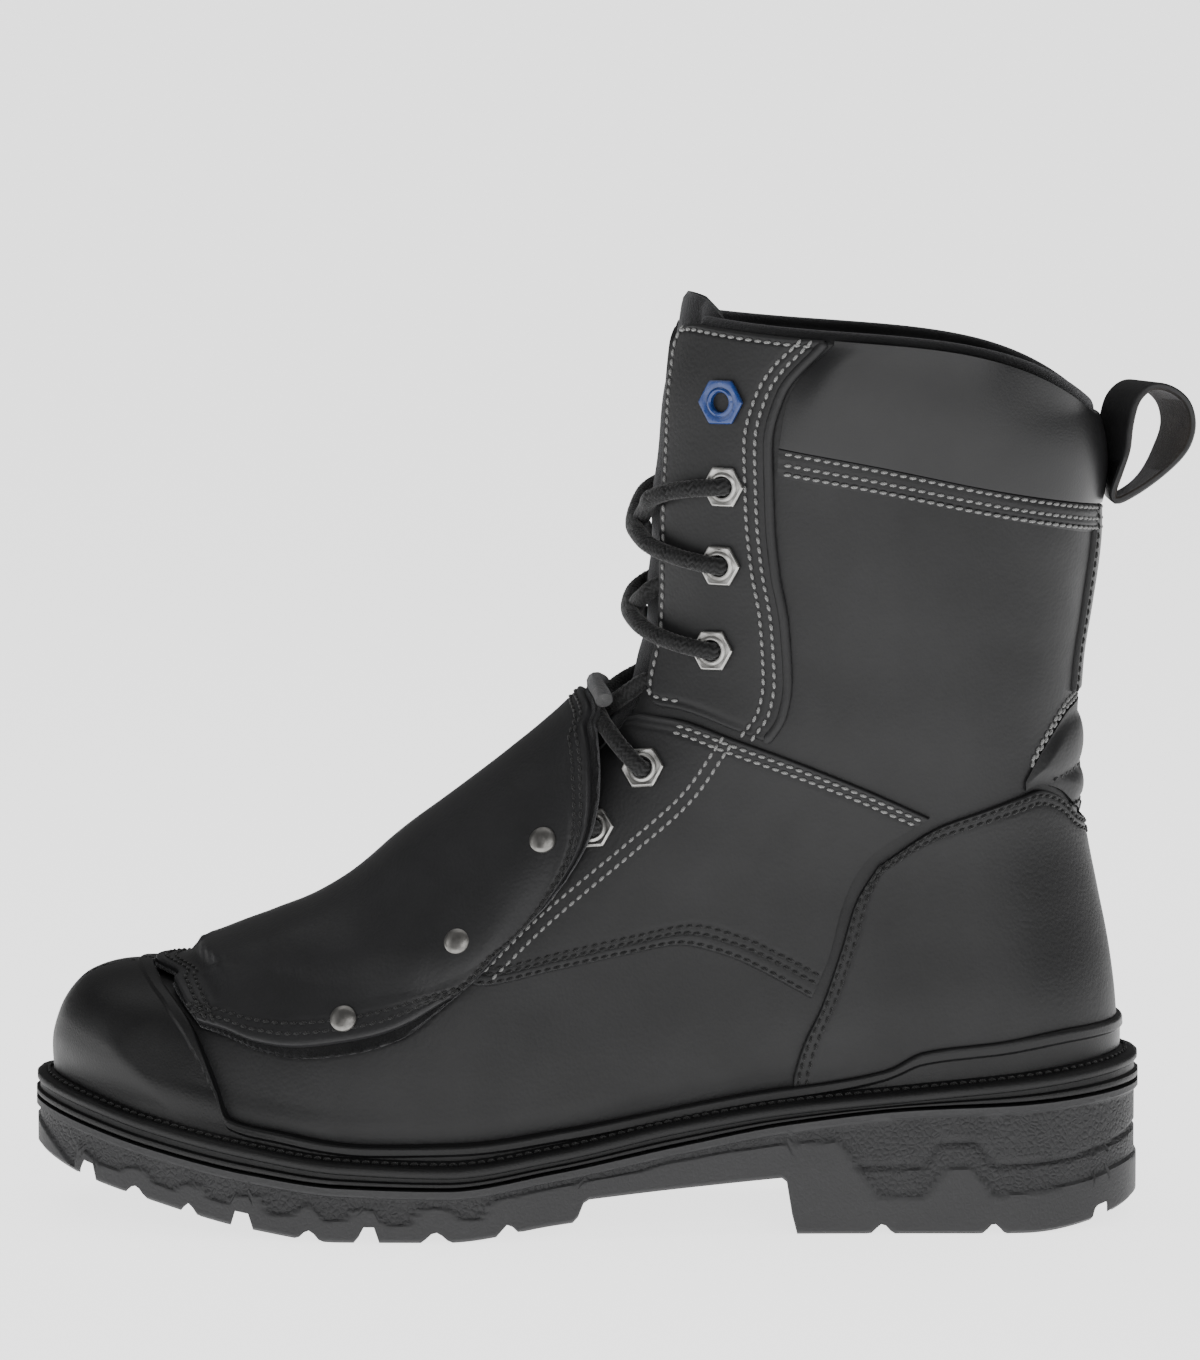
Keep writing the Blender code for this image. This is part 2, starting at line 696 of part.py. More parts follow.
QUARTER_TOP = ((6.0, 143.5), (10.0, 145.0), (18.0, 144.5), (36.0, 139.0), (70.0, 126.0), (90.0, 117.0))
QUARTER_LOW = ((-47.0, 86.0), (-36.0, 70.5), (-15.0, 74.5), (5.0, 78.5), (20.0, 81.0), (33.0, 78.0),
               (46.0, 72.0), (57.0, 66.0))
QUARTER_REAR = ((57.0, 66.0), (62.0, 78.0), (66.0, 93.0), (72.0, 104.5), (90.0, 117.0))
FACING_REAR = ((44.0, 138.5), (48.5, 146.0), (50.0, 155.0), (49.0, 172.0), (46.5, 186.0), (45.0, 202.0),
               (44.5, 222.0), (48.0, 236.0), (60.0, 250.5))
FACING_LOW = ((8.5, 147.5), (18.0, 147.0), (36.0, 141.5), (44.0, 138.5))
COUNTER_SIDE = ((52.0, 43.5), (54.5, 52.0), (60.0, 64.0), (65.5, 80.0), (69.5, 93.0), (75.5, 103.0))
COUNTER_TOP = ((75.5, 103.0), (93.0, 114.5), (104.0, 118.5), (116.0, 122.5), (121.0, 124.0),
               (126.0, 122.0), (131.0, 116.5), (137.2, 111.0))
ACHILLES_LOW = ((117.0, 124.0), (121.0, 125.6), (127.0, 123.4), (131.5, 118.4), (136.5, 113.0))
ACHILLES_TOP = ((117.0, 126.5), (120.0, 132.0), (125.0, 140.0), (129.0, 145.5), (133.4, 148.5))
COLLAR_LOW = ((47.5, 221.0), (77.0, 215.5), (106.0, 209.5), (138.4, 203.5))
COLLAR_FRONT = ((47.5, 221.0), (49.5, 233.0), (54.0, 241.5), (62.5, 249.5))
GUARD_FRONT = ((-114.0, 56.5), (-118.5, 62.0), (-122.0, 66.0))
GUARD_RIDGE_FRONT = -124.5
GUARD_LOW = ((-114.0, 56.5), (-106.0, 54.5), (-97.0, 51.5), (-86.0, 50.0), (-72.0, 51.5), (-57.0, 56.0),
             (-43.0, 66.5))
GUARD_REAR = ((-43.0, 66.5), (-36.0, 73.0), (-28.0, 82.0), (-20.0, 92.0), (-13.0, 100.5), (-7.0, 110.0),
              (-4.0, 120.0), (-3.5, 130.0), (-4.0, 138.0))
GUARD_RIDGE_REAR = -3.0


def ridge_value(x):
    """Ring value where the front profile reaches x."""
    steps = np.linspace(0.2, 1.0, 400)
    return float(np.interp(x, RING["front_x"](steps), steps))


def along_seam(points, count, side):
    return resample(seam(curve_through(points, 4 * count), side), count)


def layer(name, lattice, low, high, material, **joins):
    """Solid between two heights over a lattice of ring angles and values."""
    theta = lattice[..., 0]
    v = lattice[..., 1]
    return grid_solid(name, skin(theta, v, high), skin(theta, v, low), material, **joins)


def throat_line(v_from, v_to, count, side, setback=0.012):
    values = np.linspace(v_from, v_to, count)
    return np.stack([side * (throat_theta(values) + setback), values], axis=1)


def word(side):
    return "outer" if side < 0 else "inner"


def make_quarter(side, material):
    """Panel from the throat back to the counter, over the vamp's rear and the shaft's foot."""
    columns = 12
    rows = 7
    low = along_seam(QUARTER_LOW, columns, side)
    top_back = seam(curve_through(QUARTER_TOP, 24), side)
    throat_top_v = top_back[0, 1]
    throat = throat_line(0.545, throat_top_v, 8, side)
    top = resample(np.concatenate([throat, top_back[1:]]), columns)
    front = resample(np.stack([low[0], top[0]]), rows)
    rear = along_seam(QUARTER_REAR, rows, side)
    rear[0] = low[-1]
    rear[-1] = top[-1]
    lattice = patch(low, top, front, rear)
    return layer("quarter_" + word(side), lattice, LAYER_GAP + 0.15, LAYER_GAP + OVERLAY_THICK, material)


def make_facing(side, material):
    """Eyestay on the shaft beside the throat, up to the collar."""
    rows = 11
    columns = 5
    low = along_seam(FACING_LOW, columns, side)
    front = throat_line(low[0, 1], 1.0, rows, side)
    low[0] = front[0]
    rear = along_seam(FACING_REAR, rows, side)
    rear[0] = low[-1]
    rear[-1, 1] = 1.0
    top = resample(np.stack([front[-1], rear[-1]]), columns)
    lattice = patch(low, top, front, rear)
    return layer("facing_" + word(side), lattice, LAYER_GAP, LAYER_GAP + OVERLAY_THICK, material)


def round_heel(points, count):
    """A side view line carried from the outer side round the heel to the inner side."""
    outer = seam(curve_through(points, 40), -1.0)
    outer[:, 0] = -outer[:, 0]
    outer[-1, 0] = math.pi
    inner = outer[::-1].copy()
    inner[:, 0] = 2 * math.pi - inner[:, 0]
    return resample(np.concatenate([outer, inner[1:]]), count)


COUNTER_THICK = 1.7


def make_counter(material):
    rows = 6
    columns = 19
    top = round_heel(COUNTER_TOP, columns)
    first = along_seam(COUNTER_SIDE, rows, 1.0)
    first[-1] = top[0]
    last = first.copy()
    last[:, 0] = 2 * math.pi - last[:, 0]
    theta = np.linspace(first[0, 0], last[0, 0], columns)
    value = ring_value_at(theta, rand_top_z) + 0.012
    low = np.stack([theta, value], axis=1)
    first[0] = low[0]
    last[0] = low[-1]
    lattice = patch(low, top, first, last)
    return layer("heel_counter", lattice, LAYER_GAP, LAYER_GAP + COUNTER_THICK, material)


COLLAR_COLUMNS = 23
COLLAR_PUFF = 1.9


def make_collar(material):
    """Padded collar, puffed out between its seams."""
    rows = 5
    low = round_heel(COLLAR_LOW, COLLAR_COLUMNS)
    front = along_seam(COLLAR_FRONT, rows, 1.0)
    front[-1, 1] = 1.0
    back = front.copy()
    back[:, 0] = 2 * math.pi - back[:, 0]
    low[0] = front[0]
    low[-1] = back[0]
    top = resample(np.stack([front[-1], back[-1]]), COLLAR_COLUMNS)
    lattice = patch(low, top, front, back)
    rise = np.linspace(0.0, 1.0, rows)[:, None]
    puff = COLLAR_PUFF * np.sin(math.pi * np.clip(rise * 0.85 + 0.08, 0, 1)) ** 0.7
    thick = LAYER_GAP + 0.9 + puff * np.ones(COLLAR_COLUMNS)[None, :]
    return layer("collar_pad", lattice, LAYER_GAP + 0.15, thick, material)


ACHILLES_RIBS = 3
RIB_PUFF = 1.7


def make_achilles_pad(material):
    """Flex pad above the counter, in three padded ribs."""
    columns = 11
    rows = 2 * ACHILLES_RIBS + 1
    low = round_heel(ACHILLES_LOW, columns)
    top = round_heel(ACHILLES_TOP, columns)
    first = resample(np.stack([low[0], top[0]]), rows)
    last = resample(np.stack([low[-1], top[-1]]), rows)
    lattice = patch(low, top, first, last)
    rise = np.linspace(0.0, 1.0, rows)[:, None]
    puff = RIB_PUFF * np.abs(np.sin(math.pi * ACHILLES_RIBS * rise)) * np.ones(columns)[None, :]
    return layer("achilles_pad", lattice, LAYER_GAP, LAYER_GAP + 0.8 + puff, material)


STRIP_HALF_ANGLE = 0.30


def make_back_strip(material):
    """Leather strip down the back seam, from the collar to the flex pad."""
    rows = 7
    columns = 5
    theta = math.pi + STRIP_HALF_ANGLE * np.linspace(-1.0, 1.0, columns)
    low_v = locate([133.6], [150.6])[1][0]
    high_v = locate([138.4], [201.5])[1][0]
    values = np.linspace(low_v, high_v, rows)
    lattice = np.stack(np.broadcast_arrays(theta[None, :], values[:, None]), axis=-1)
    return layer("back_strip", lattice, LAYER_GAP, LAYER_GAP + 1.3, material)


# Tongue

TONGUE_ROWS = 13
TONGUE_COLUMNS = 9
TONGUE_THICK = 3.6
TONGUE_FROM = 0.50
TONGUE_RISE = 7.0
TONGUE_TUCK = 1.2


def make_tongue(material):
    """Padded tongue behind the throat, its middle crowned out to the throat line."""
    values = np.linspace(TONGUE_FROM, 1.0, TONGUE_ROWS)[:, None]
    across = np.linspace(-1.0, 1.0, TONGUE_COLUMNS)[None, :]
    spread = throat_theta(values) + 0.10 + 0.22 * smoothstep(0.62, 0.95, values)
    theta = across * spread
    tucked = -(upper_wall(values) + TONGUE_TUCK)
    crown = np.clip(1 - (np.abs(theta) / np.maximum(throat_theta(values), 0.05)) ** 2, 0.0, 1.0)
    lift = tucked + (2.2 * smoothstep(0.53, 0.62, values)) * crown
    lift = lift + (upper_wall(values) - upper_wall(0.5)) * crown ** 2
    tall = TONGUE_RISE * smoothstep(0.9, 1.0, values) * (1 - 0.75 * across ** 2)
    outer = skin(theta, values, lift)
    inner = skin(theta, values, lift - TONGUE_THICK)
    outer[..., 2] += tall
    inner[..., 2] += tall
    outer[..., 0] += 0.35 * tall
    inner[..., 0] += 0.35 * tall
    return grid_solid("tongue", outer, inner, material)


# Metatarsal guard

GUARD_ROWS = 10
GUARD_COLUMNS = 16
PAD_THICK = 1.7
COVER_THICK = 1.7
RIDGE_LIFT = 6.6
COVER_GAP = 1.0


def guard_line(points, ridge_x, count):
    """Edge line of the guard from its outer side over the ridge to its inner side."""
    outer = seam(curve_through(points, 40), -1.0)
    ridge = np.array([[0.0, ridge_value(ridge_x)]])
    inner = outer[::-1].copy()
    inner[:, 0] = -inner[:, 0]
    return resample(np.concatenate([outer, ridge, inner]), count)


def guard_lattice(trim):
    """Lattice over the guard, drawn in from its edge by a share of its size."""
    front = guard_line(GUARD_FRONT, GUARD_RIDGE_FRONT, 61)
    rear = guard_line(GUARD_REAR, GUARD_RIDGE_REAR, 61)
    outer = along_seam(GUARD_LOW, 61, -1.0)
    inner = outer.copy()
    inner[:, 0] = -inner[:, 0]
    full = patch(front, rear, outer, inner)
    rows = np.linspace(trim, 1 - trim, GUARD_ROWS) * 60
    columns = np.linspace(trim, 1 - trim, GUARD_COLUMNS) * 60
    low_row = np.minimum(rows.astype(int), 59)
    low_column = np.minimum(columns.astype(int), 59)
    r = (rows - low_row)[:, None, None]
    c = (columns - low_column)[None, :, None]
    a = full[low_row][:, low_column]
    b = full[low_row][:, low_column + 1]
    d = full[low_row + 1][:, low_column]
    e = full[low_row + 1][:, low_column + 1]
    return (a * (1 - c) + b * c) * (1 - r) + (d * (1 - c) + e * c) * r


def guard_height(theta, v):
    """Height of the guard's underside: on the vamp in front, over quarters and laces behind."""
    x, z = ring_line(np.abs(theta), v)
    half = half_width(x, z, np.where(theta < 0, -1.0, 1.0))
    side_lift = 0.8 + 1.4 * smoothstep(-70.0, -52.0, x) + 2.0 * smoothstep(-48.0, -30.0, x)
    on_ridge = smoothstep(0.42, 0.53, v) * (1 - smoothstep(14.0, 32.0, half))
    return LAYER_GAP + side_lift + (RIDGE_LIFT - side_lift) * on_ridge


def guard_pad_thick(v):
    return PAD_THICK * (0.5 + 0.5 * smoothstep(0.30, 0.40, v))


def make_guard(pad_material, cover_material):
    lattice = guard_lattice(0.0)
    base = guard_height(lattice[..., 0], lattice[..., 1])
    layer("guard_pad", lattice, base, base + guard_pad_thick(lattice[..., 1]), pad_material)
    lattice = guard_lattice(0.02)
    base = guard_height(lattice[..., 0], lattice[..., 1])
    base = base + guard_pad_thick(lattice[..., 1]) + COVER_GAP
    return layer("guard_cover", lattice, base, base + COVER_THICK, cover_material)


# Hardware

RIVETS = ((-18.0, 110.0), (-42.0, 83.0), (-74.0, 61.5))
RIVET_RADIUS = 3.7
RIVET_HEIGHT = 1.5
HEAD_GAP = 0.8
EYELETS = ((32.5, 233.5), (33.0, 210.0), (32.0, 188.0), (30.0, 164.0), (10.5, 130.0), (-4.0, 113.0),
           (-18.5, 98.0))
HEX_RADIUS = 6.15
TOP_HEX_RADIUS = 6.9
EYELET_HOLE = 2.8
EYELET_HEIGHT = 1.6


def surface_frame(x, z, side, height, clearance):
    """Placing matrix on a surface at a height over the form: its Z is the surface normal,
    its X points to the heel."""
    theta, v = locate([x], [z])
    theta = theta * (1 if side > 0 else -1)
    step = 0.02

    def point(d_theta, d_v):
        at_theta = theta + d_theta
        at_v = v + d_v
        return Vector(skin(at_theta, at_v, height(at_theta, at_v))[0])

    across = point(step, 0.0) - point(-step, 0.0)
    upward = point(0.0, step) - point(0.0, -step)
    normal = upward.cross(across).normalized()
    origin = (point(0.0, 0.0) + normal * clearance) * MM
    rearward = Vector((1.0, 0.0, 0.0))
    rearward = (rearward - normal * rearward.dot(normal)).normalized()
    matrix = Matrix((rearward, normal.cross(rearward), normal)).transposed().to_4x4()
    matrix.translation = origin
    return matrix


def turned_loops(name, loops, matrix, material, close_ends):
    """Solid through loops of points in a placing frame, in millimetres."""
    mesh = bmesh.new()
    rings = [[mesh.verts.new(matrix @ (Vector(point) * MM)) for point in loop] for loop in loops]
    pairs = list(zip(rings, rings[1:]))
    if not close_ends:
        pairs.append((rings[-1], rings[0]))
    for a, b in pairs:
        for i in range(len(a)):
            j = (i + 1) % len(a)
            mesh.faces.new((a[i], a[j], b[j], b[i]))
    if close_ends:
        mesh.faces.new(rings[0])
        mesh.faces.new(rings[-1])
    return finish_mesh(name, mesh, material)


def make_eyelet(name, matrix, hex_radius, material):
    """Hex-headed eyelet: a flat hexagon with a bevelled top and a round hole."""
    def loop(z, radius, hexed):
        points = []
        for i in range(12):
            angle = math.pi * i / 6
            reach = radius if i % 2 == 0 or not hexed else radius * math.cos(math.pi / 6)
            points.append((reach * math.cos(angle), reach * math.sin(angle), z))
        return points

    loops = (loop(0.0, hex_radius, True), loop(EYELET_HEIGHT, hex_radius * 0.88, True),
             loop(0.0, EYELET_HOLE, False))
    return turned_loops(name, loops, matrix, material, False)


def make_rivet(name, matrix, material):
    loops = []
    for share in (0.0, 0.45, 0.8):
        radius = RIVET_RADIUS * math.sqrt(1 - share ** 2 * 0.9)
        loops.append([(radius * math.cos(math.pi * i / 4), radius * math.sin(math.pi * i / 4),
                       RIVET_HEIGHT * share) for i in range(8)])
    return turned_loops(name, loops, matrix, material, True)


def guard_top(theta, v):
    return guard_height(theta, v) + guard_pad_thick(v) + COVER_GAP + COVER_THICK


def overlay_top(theta, v):
    return LAYER_GAP + OVERLAY_THICK + 0.0 * v


def make_hardware(nickel, blue):
    for side in (-1.0, 1.0):
        for row, (x, z) in enumerate(EYELETS, 1):
            radius = TOP_HEX_RADIUS if row == 1 else HEX_RADIUS
            matrix = surface_frame(x, z, side, overlay_top, HEAD_GAP)
            make_eyelet("eyelet_%s_%d" % (word(side), row), matrix, radius, blue if row == 1 else nickel)
        for row, (x, z) in enumerate(RIVETS, 1):
            matrix = surface_frame(x, z, side, guard_top, HEAD_GAP)
            make_rivet("rivet_%s_%d" % (word(side), row), matrix, nickel)


# Pull loop

PULL_LOOP = ((142.9, 204.5), (148.5, 206.5), (154.5, 211.5), (159.3, 218.0), (161.6, 225.0), (160.3, 231.5),
             (156.0, 235.5), (150.5, 236.5), (146.2, 233.0), (144.2, 226.5), (143.4, 219.0), (142.9, 211.5))
PULL_WIDTH = 20.0
PULL_THICK = 2.0


def make_pull_loop(material):
    """Leather strap sewn into a loop behind the collar."""
    path = np.array(PULL_LOOP)
    ahead = np.roll(path, -1, axis=0) - np.roll(path, 1, axis=0)
    ahead /= np.linalg.norm(ahead, axis=1, keepdims=True)
    outward = np.stack([ahead[:, 1], -ahead[:, 0]], axis=1) * PULL_THICK / 2
    rails = []
    for half, reach in ((-PULL_WIDTH / 2, 1), (PULL_WIDTH / 2, 1), (PULL_WIDTH / 2, -1), (-PULL_WIDTH / 2, -1)):
        edge = path + outward * reach
        rails.append([(x, half, z) for x, z in edge])
    return turned_loops("pull_loop", rails, Matrix.Identity(4), material, False)


# Laces

LACE_DIAMETER = 4.5
LACE_SIDES = 6
LACE_STEPS = 9
TONGUE_CLEAR = 0.9
# Each crossing starts at the eyelets of its lower row and rises to the upper row.
LACE_ROWS = ((3, 2), (4, 3), (5, 4))
OVER_ROW = 2
CROSSING_STEP = 1.3
LOW_ROW_LIFT = 1.1


def lace_strand(start_row, end_row, side):
    """Strand from beside an eyelet, over the facing and up across the tongue. It ends where
    it dives under the far facing, or beside the far eyelet in the row that it enters from
    outside."""
    theta_a, v_a = locate(*[[value] for value in EYELETS[start_row - 1]])
    theta_b, v_b = locate(*[[value] for value in EYELETS[end_row - 1]])
    v_edge = v_b[0] - (v_b[0] - v_a[0]) * (0.10 if end_row == OVER_ROW else 0.22)
    edge_a = float(throat_theta(v_a)[0])
    edge_b = float(throat_theta(np.array([v_edge]))[0])
    start = theta_a[0] - (theta_a[0] - edge_a) * 0.45
    over = LAYER_GAP + OVERLAY_THICK + GAP + LACE_DIAMETER / 2 + (LOW_ROW_LIFT if start_row == 5 else 0.0)
    on_tongue = LACE_DIAMETER / 2 + TONGUE_CLEAR + (CROSSING_STEP if side > 0 else 0.0)
    share = np.linspace(0.0, 1.0, LACE_STEPS)
    if end_row == OVER_ROW:
        end = -(theta_b[0] - (theta_b[0] - edge_b) * 0.45)
    else:
        end = -(edge_b - 0.10)
    theta = start + (end - start) * share
    value = v_a[0] + (v_edge - v_a[0]) * share
    edge = throat_theta(value)
    reach = np.abs(theta) if end_row == OVER_ROW else theta
    height = on_tongue + (over - on_tongue) * smoothstep(edge - 0.42, edge - 0.18, reach)
    return skin(side * theta, value, height)


def tube(name, line, material):
    """Round tube along a line of points, with flat ends."""
    curve = bpy.data.curves.new(name, "CURVE")
    curve.dimensions = "3D"
    curve.bevel_depth = LACE_DIAMETER / 2 * MM
    curve.bevel_resolution = 1
    curve.use_fill_caps = True
    spline = curve.splines.new("POLY")
    spline.points.add(len(line) - 1)
    for point, place in zip(spline.points, line):
        point.co = (*(place * MM), 1.0)
    curve.materials.append(material)
    piece = bpy.data.objects.new(name, curve)
    bpy.context.scene.collection.objects.link(piece)
    return piece


def make_laces(material):
    """Crossing of each pair of rows, its two strands joined where they cross."""
    for lower_row, upper_row in LACE_ROWS:
        name = "lace_crossing_%d" % upper_row
        first = tube(name, lace_strand(lower_row, upper_row, -1.0), material)
        second = tube(name + "_second", lace_strand(lower_row, upper_row, 1.0), material)
        second.hide_render = True
        second.display_type = "WIRE"
        depsgraph = bpy.context.evaluated_depsgraph_get()
        meshes = []
        for strand in (first, second):
            meshes.append(bpy.data.meshes.new_from_object(strand.evaluated_get(depsgraph)))
            bpy.data.objects.remove(strand, do_unlink=True)
        crossing = bpy.data.objects.new(name, meshes[0])
        other = bpy.data.objects.new(name + "_second", meshes[1])
        for strand in (crossing, other):
            bpy.context.scene.collection.objects.link(strand)
        other.hide_render = True
        other.display_type = "WIRE"
        join = crossing.modifiers.new("join", "BOOLEAN")
        join.operation = "UNION"
        join.solver = "EXACT"
        join.object = other


def main():
    for piece in list(bpy.data.objects):
        bpy.data.objects.remove(piece, do_unlink=True)
    outsole_rubber = plain_material("outsole_rubber", (0.065, 0.065, 0.068), 0.65)
    midsole_rubber = plain_material("midsole_rubber", (0.03, 0.03, 0.032), 0.6)
    rand_rubber = plain_material("rand_rubber", (0.015, 0.015, 0.016), 0.42)
    leather = plain_material("black_leather", (0.025, 0.025, 0.027), 0.5)
    collar_leather = plain_material("collar_leather", (0.012, 0.012, 0.013), 0.38)
    suede = plain_material("black_suede", (0.01, 0.01, 0.011), 0.95)
    nickel = plain_material("aged_nickel", (0.42, 0.42, 0.41), 0.35, 1.0)
    blue = plain_material("blue_enamel", (0.02, 0.09, 0.32), 0.35)
    cord = plain_material("black_cord", (0.008, 0.008, 0.009), 0.8)
    felt = plain_material("insole_felt", (0.12, 0.12, 0.12), 0.95)
    make_outsole(outsole_rubber)
    make_midsole(midsole_rubber)
    make_welt(midsole_rubber)
    make_insole(felt)
    make_upper(leather)
    make_rand(rand_rubber)
    for side in (-1.0, 1.0):
        make_quarter(side, leather)
        make_facing(side, leather)
    make_counter(leather)
    make_collar(collar_leather)
    make_achilles_pad(collar_leather)
    make_back_strip(leather)
    make_tongue(suede)
    make_guard(suede, leather)
    make_hardware(nickel, blue)
    make_pull_loop(leather)
    make_laces(cord)


main()
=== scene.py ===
"""Looks of the metatarsal guard boot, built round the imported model.

Lengths are millimetres until a mesh is made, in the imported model's frame: the toe points to -X,
the heel to +X, the outer side to -Y and the collar up.
"""
import math

import bmesh
import bpy
import numpy as np
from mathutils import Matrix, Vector


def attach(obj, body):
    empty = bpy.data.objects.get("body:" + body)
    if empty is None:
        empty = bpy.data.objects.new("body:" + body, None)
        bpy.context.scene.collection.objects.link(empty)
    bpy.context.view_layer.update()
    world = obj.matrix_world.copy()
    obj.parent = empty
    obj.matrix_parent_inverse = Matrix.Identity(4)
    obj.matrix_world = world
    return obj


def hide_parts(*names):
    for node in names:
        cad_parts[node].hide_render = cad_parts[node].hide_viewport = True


MM = 0.001
BODY = "root"
OUTER = -1.0
INNER = 1.0

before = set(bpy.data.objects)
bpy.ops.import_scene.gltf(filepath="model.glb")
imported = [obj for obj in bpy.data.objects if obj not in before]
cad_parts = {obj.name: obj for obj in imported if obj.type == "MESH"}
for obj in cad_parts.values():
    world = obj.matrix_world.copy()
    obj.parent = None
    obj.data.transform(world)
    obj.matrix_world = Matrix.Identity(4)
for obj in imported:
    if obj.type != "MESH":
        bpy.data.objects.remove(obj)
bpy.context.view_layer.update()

# The last: outline of the sole and outer form of the upper, as in the solids

TOE_TIP = -163.8
HEEL_END = 151.6
TOE_ROUND = 75.0
HEEL_ROUND = 45.0
TOE_POWER = 2.3
HEEL_POWER = 2.2
UPPER_LEDGE = 8.5
WELT_THICK = 2.2
SOLE_BED = 0.7

SOLE_COLUMNS = ("x", "lateral", "medial", "tread", "outsole_top", "welt_edge")
SOLE_STATIONS = (
    (-164.0, 44.0, 54.0, 20.5, 34.6, 40.6),
    (-148.0, 46.0, 55.0, 14.2, 29.8, 36.0),
    (-130.0, 48.0, 56.0, 9.6, 25.0, 31.0),
    (-100.0, 53.0, 57.0, 3.0, 19.2, 25.0),
    (-75.0, 56.0, 54.5, 0.0, 16.2, 21.4),
    (-45.0, 55.5, 49.0, 0.0, 15.4, 20.2),
    (-15.0, 50.0, 42.5, 3.9, 19.5, 24.0),
    (20.0, 43.5, 39.0, 8.0, 26.2, 31.1),
    (50.0, 41.0, 39.0, 11.0, 31.8, 35.9),
    (85.0, 40.5, 40.0, 0.0, 35.8, 39.5),
    (115.0, 40.5, 40.5, 0.0, 37.2, 42.6),
    (152.0, 40.0, 40.0, 0.0, 40.0, 47.0),
)
FOREFOOT_END = -9.0
HEEL_BREAST = 52.5
BREAST_SLOPE = 2.5
ARCH_FRONT_Z = 10.6
ARCH_REAR_Z = 16.2
HEEL_BEVEL_START = 118.0
HEEL_BEVEL_RISE = 7.0

RING_COLUMNS = ("v", "front_x", "front_z", "back_x", "back_z", "follow", "lift")
RINGS = (
    (0.00, -155.4, 36.4, 143.1, 44.2, 1.00, 0.0),
    (0.06, -156.2, 48.0, 143.5, 52.0, 0.90, 0.0),
    (0.12, -154.2, 57.0, 143.0, 62.0, 0.78, 0.0),
    (0.18, -147.2, 65.8, 141.6, 73.0, 0.62, 0.0),
    (0.24, -136.0, 68.8, 139.8, 83.0, 0.46, 0.0),
    (0.31, -118.0, 69.3, 137.6, 93.0, 0.34, 0.0),
    (0.39, -95.0, 74.8, 135.4, 104.0, 0.22, 0.0),
    (0.47, -67.0, 90.0, 133.6, 116.0, 0.12, 0.0),
    (0.55, -38.0, 110.0, 132.6, 129.0, 0.05, 0.0),
    (0.63, -12.0, 130.8, 132.6, 143.0, 0.00, 1.0),
    (0.70, 3.5, 148.0, 133.6, 157.0, 0.00, 2.0),
    (0.78, 9.6, 171.0, 136.2, 175.0, 0.00, 3.0),
    (0.87, 11.4, 202.0, 138.6, 197.0, 0.00, 5.0),
    (0.94, 13.8, 231.0, 138.0, 214.0, 0.00, 8.0),
    (1.00, 17.6, 256.5, 136.8, 229.0, 0.00, 9.5),
)

LEAN_COLUMNS = ("rise", "forefoot", "heel")
SIDE_LEAN = (
    (0.0, 1.00, 1.00),
    (6.0, 1.00, 1.00),
    (14.0, 1.03, 1.04),
    (25.0, 1.02, 1.06),
    (45.0, 0.97, 1.02),
    (70.0, 0.90, 0.98),
    (110.0, 0.84, 0.98),
)
SHAFT_COLUMNS = ("z", "half_width")
SHAFT_LEVELS = (
    (90.0, 34.5),
    (120.0, 35.5),
    (150.0, 37.0),
    (185.0, 39.5),
    (220.0, 42.0),
    (258.0, 44.5),
)
SHAFT_FROM = 80.0
SHAFT_FULL = 150.0
RIDGE_COLUMNS = ("x", "radius")
RIDGE_ROUNDING = (
    (-157.0, 34.0),
    (-115.0, 36.0),
    (-70.0, 43.0),
    (-20.0, 46.0),
    (20.0, 50.0),
)
TOE_CENTRE_SHIFT = 4.0
CLOSE_SEAM = 0.012


def column(rows, names, key):
    """One named column of a table, as an array."""
    return np.array([row[names.index(key)] for row in rows])


def smooth_track(xs, ys):
    """A function through the points that never overshoots them (monotone cubic)."""
    xs = np.asarray(xs, float)
    ys = np.asarray(ys, float)
    steps = np.diff(xs)
    slopes = np.diff(ys) / steps
    tangents = np.zeros(len(xs))
    tangents[0] = slopes[0]
    tangents[-1] = slopes[-1]
    for i in range(1, len(xs) - 1):
        before = slopes[i - 1]
        after = slopes[i]
        if before * after > 0:
            near = 2 * steps[i] + steps[i - 1]
            far = steps[i] + 2 * steps[i - 1]
            tangents[i] = (near + far) / (near / before + far / after)

    def value(x):
        x = np.clip(np.asarray(x, float), xs[0], xs[-1])
        i = np.clip(np.searchsorted(xs, x) - 1, 0, len(xs) - 2)
        width = steps[i]
        t = (x - xs[i]) / width
        keep = (1 + 2 * t) * (1 - t) ** 2
        return (keep * ys[i] + (1 - keep) * ys[i + 1]
                + t * (1 - t) ** 2 * width * tangents[i]
                - t * t * (1 - t) * width * tangents[i + 1])

    return value


def table_track(rows, names, across, key):
    return smooth_track(column(rows, names, across), column(rows, names, key))


def smoothstep(low, high, value):
    t = np.clip((np.asarray(value, float) - low) / (high - low), 0.0, 1.0)
    return t * t * (3 - 2 * t)


def rounding(t, power):
    """Rises from 0 at an edge to 1 at t = 1, square to the edge like a superellipse."""
    t = np.clip(t, 0.0, 1.0)
    return (1 - (1 - t) ** power) ** (1 / power)


SOLE = {key: table_track(SOLE_STATIONS, SOLE_COLUMNS, "x", key) for key in SOLE_COLUMNS[1:]}
RING = {key: table_track(RINGS, RING_COLUMNS, "v", key) for key in RING_COLUMNS[1:]}
LEAN = {key: table_track(SIDE_LEAN, LEAN_COLUMNS, "rise", key) for key in LEAN_COLUMNS[1:]}
SHAFT_HALF = table_track(SHAFT_LEVELS, SHAFT_COLUMNS, "z", "half_width")
RIDGE_RADIUS = table_track(RIDGE_ROUNDING, RIDGE_COLUMNS, "x", "radius")


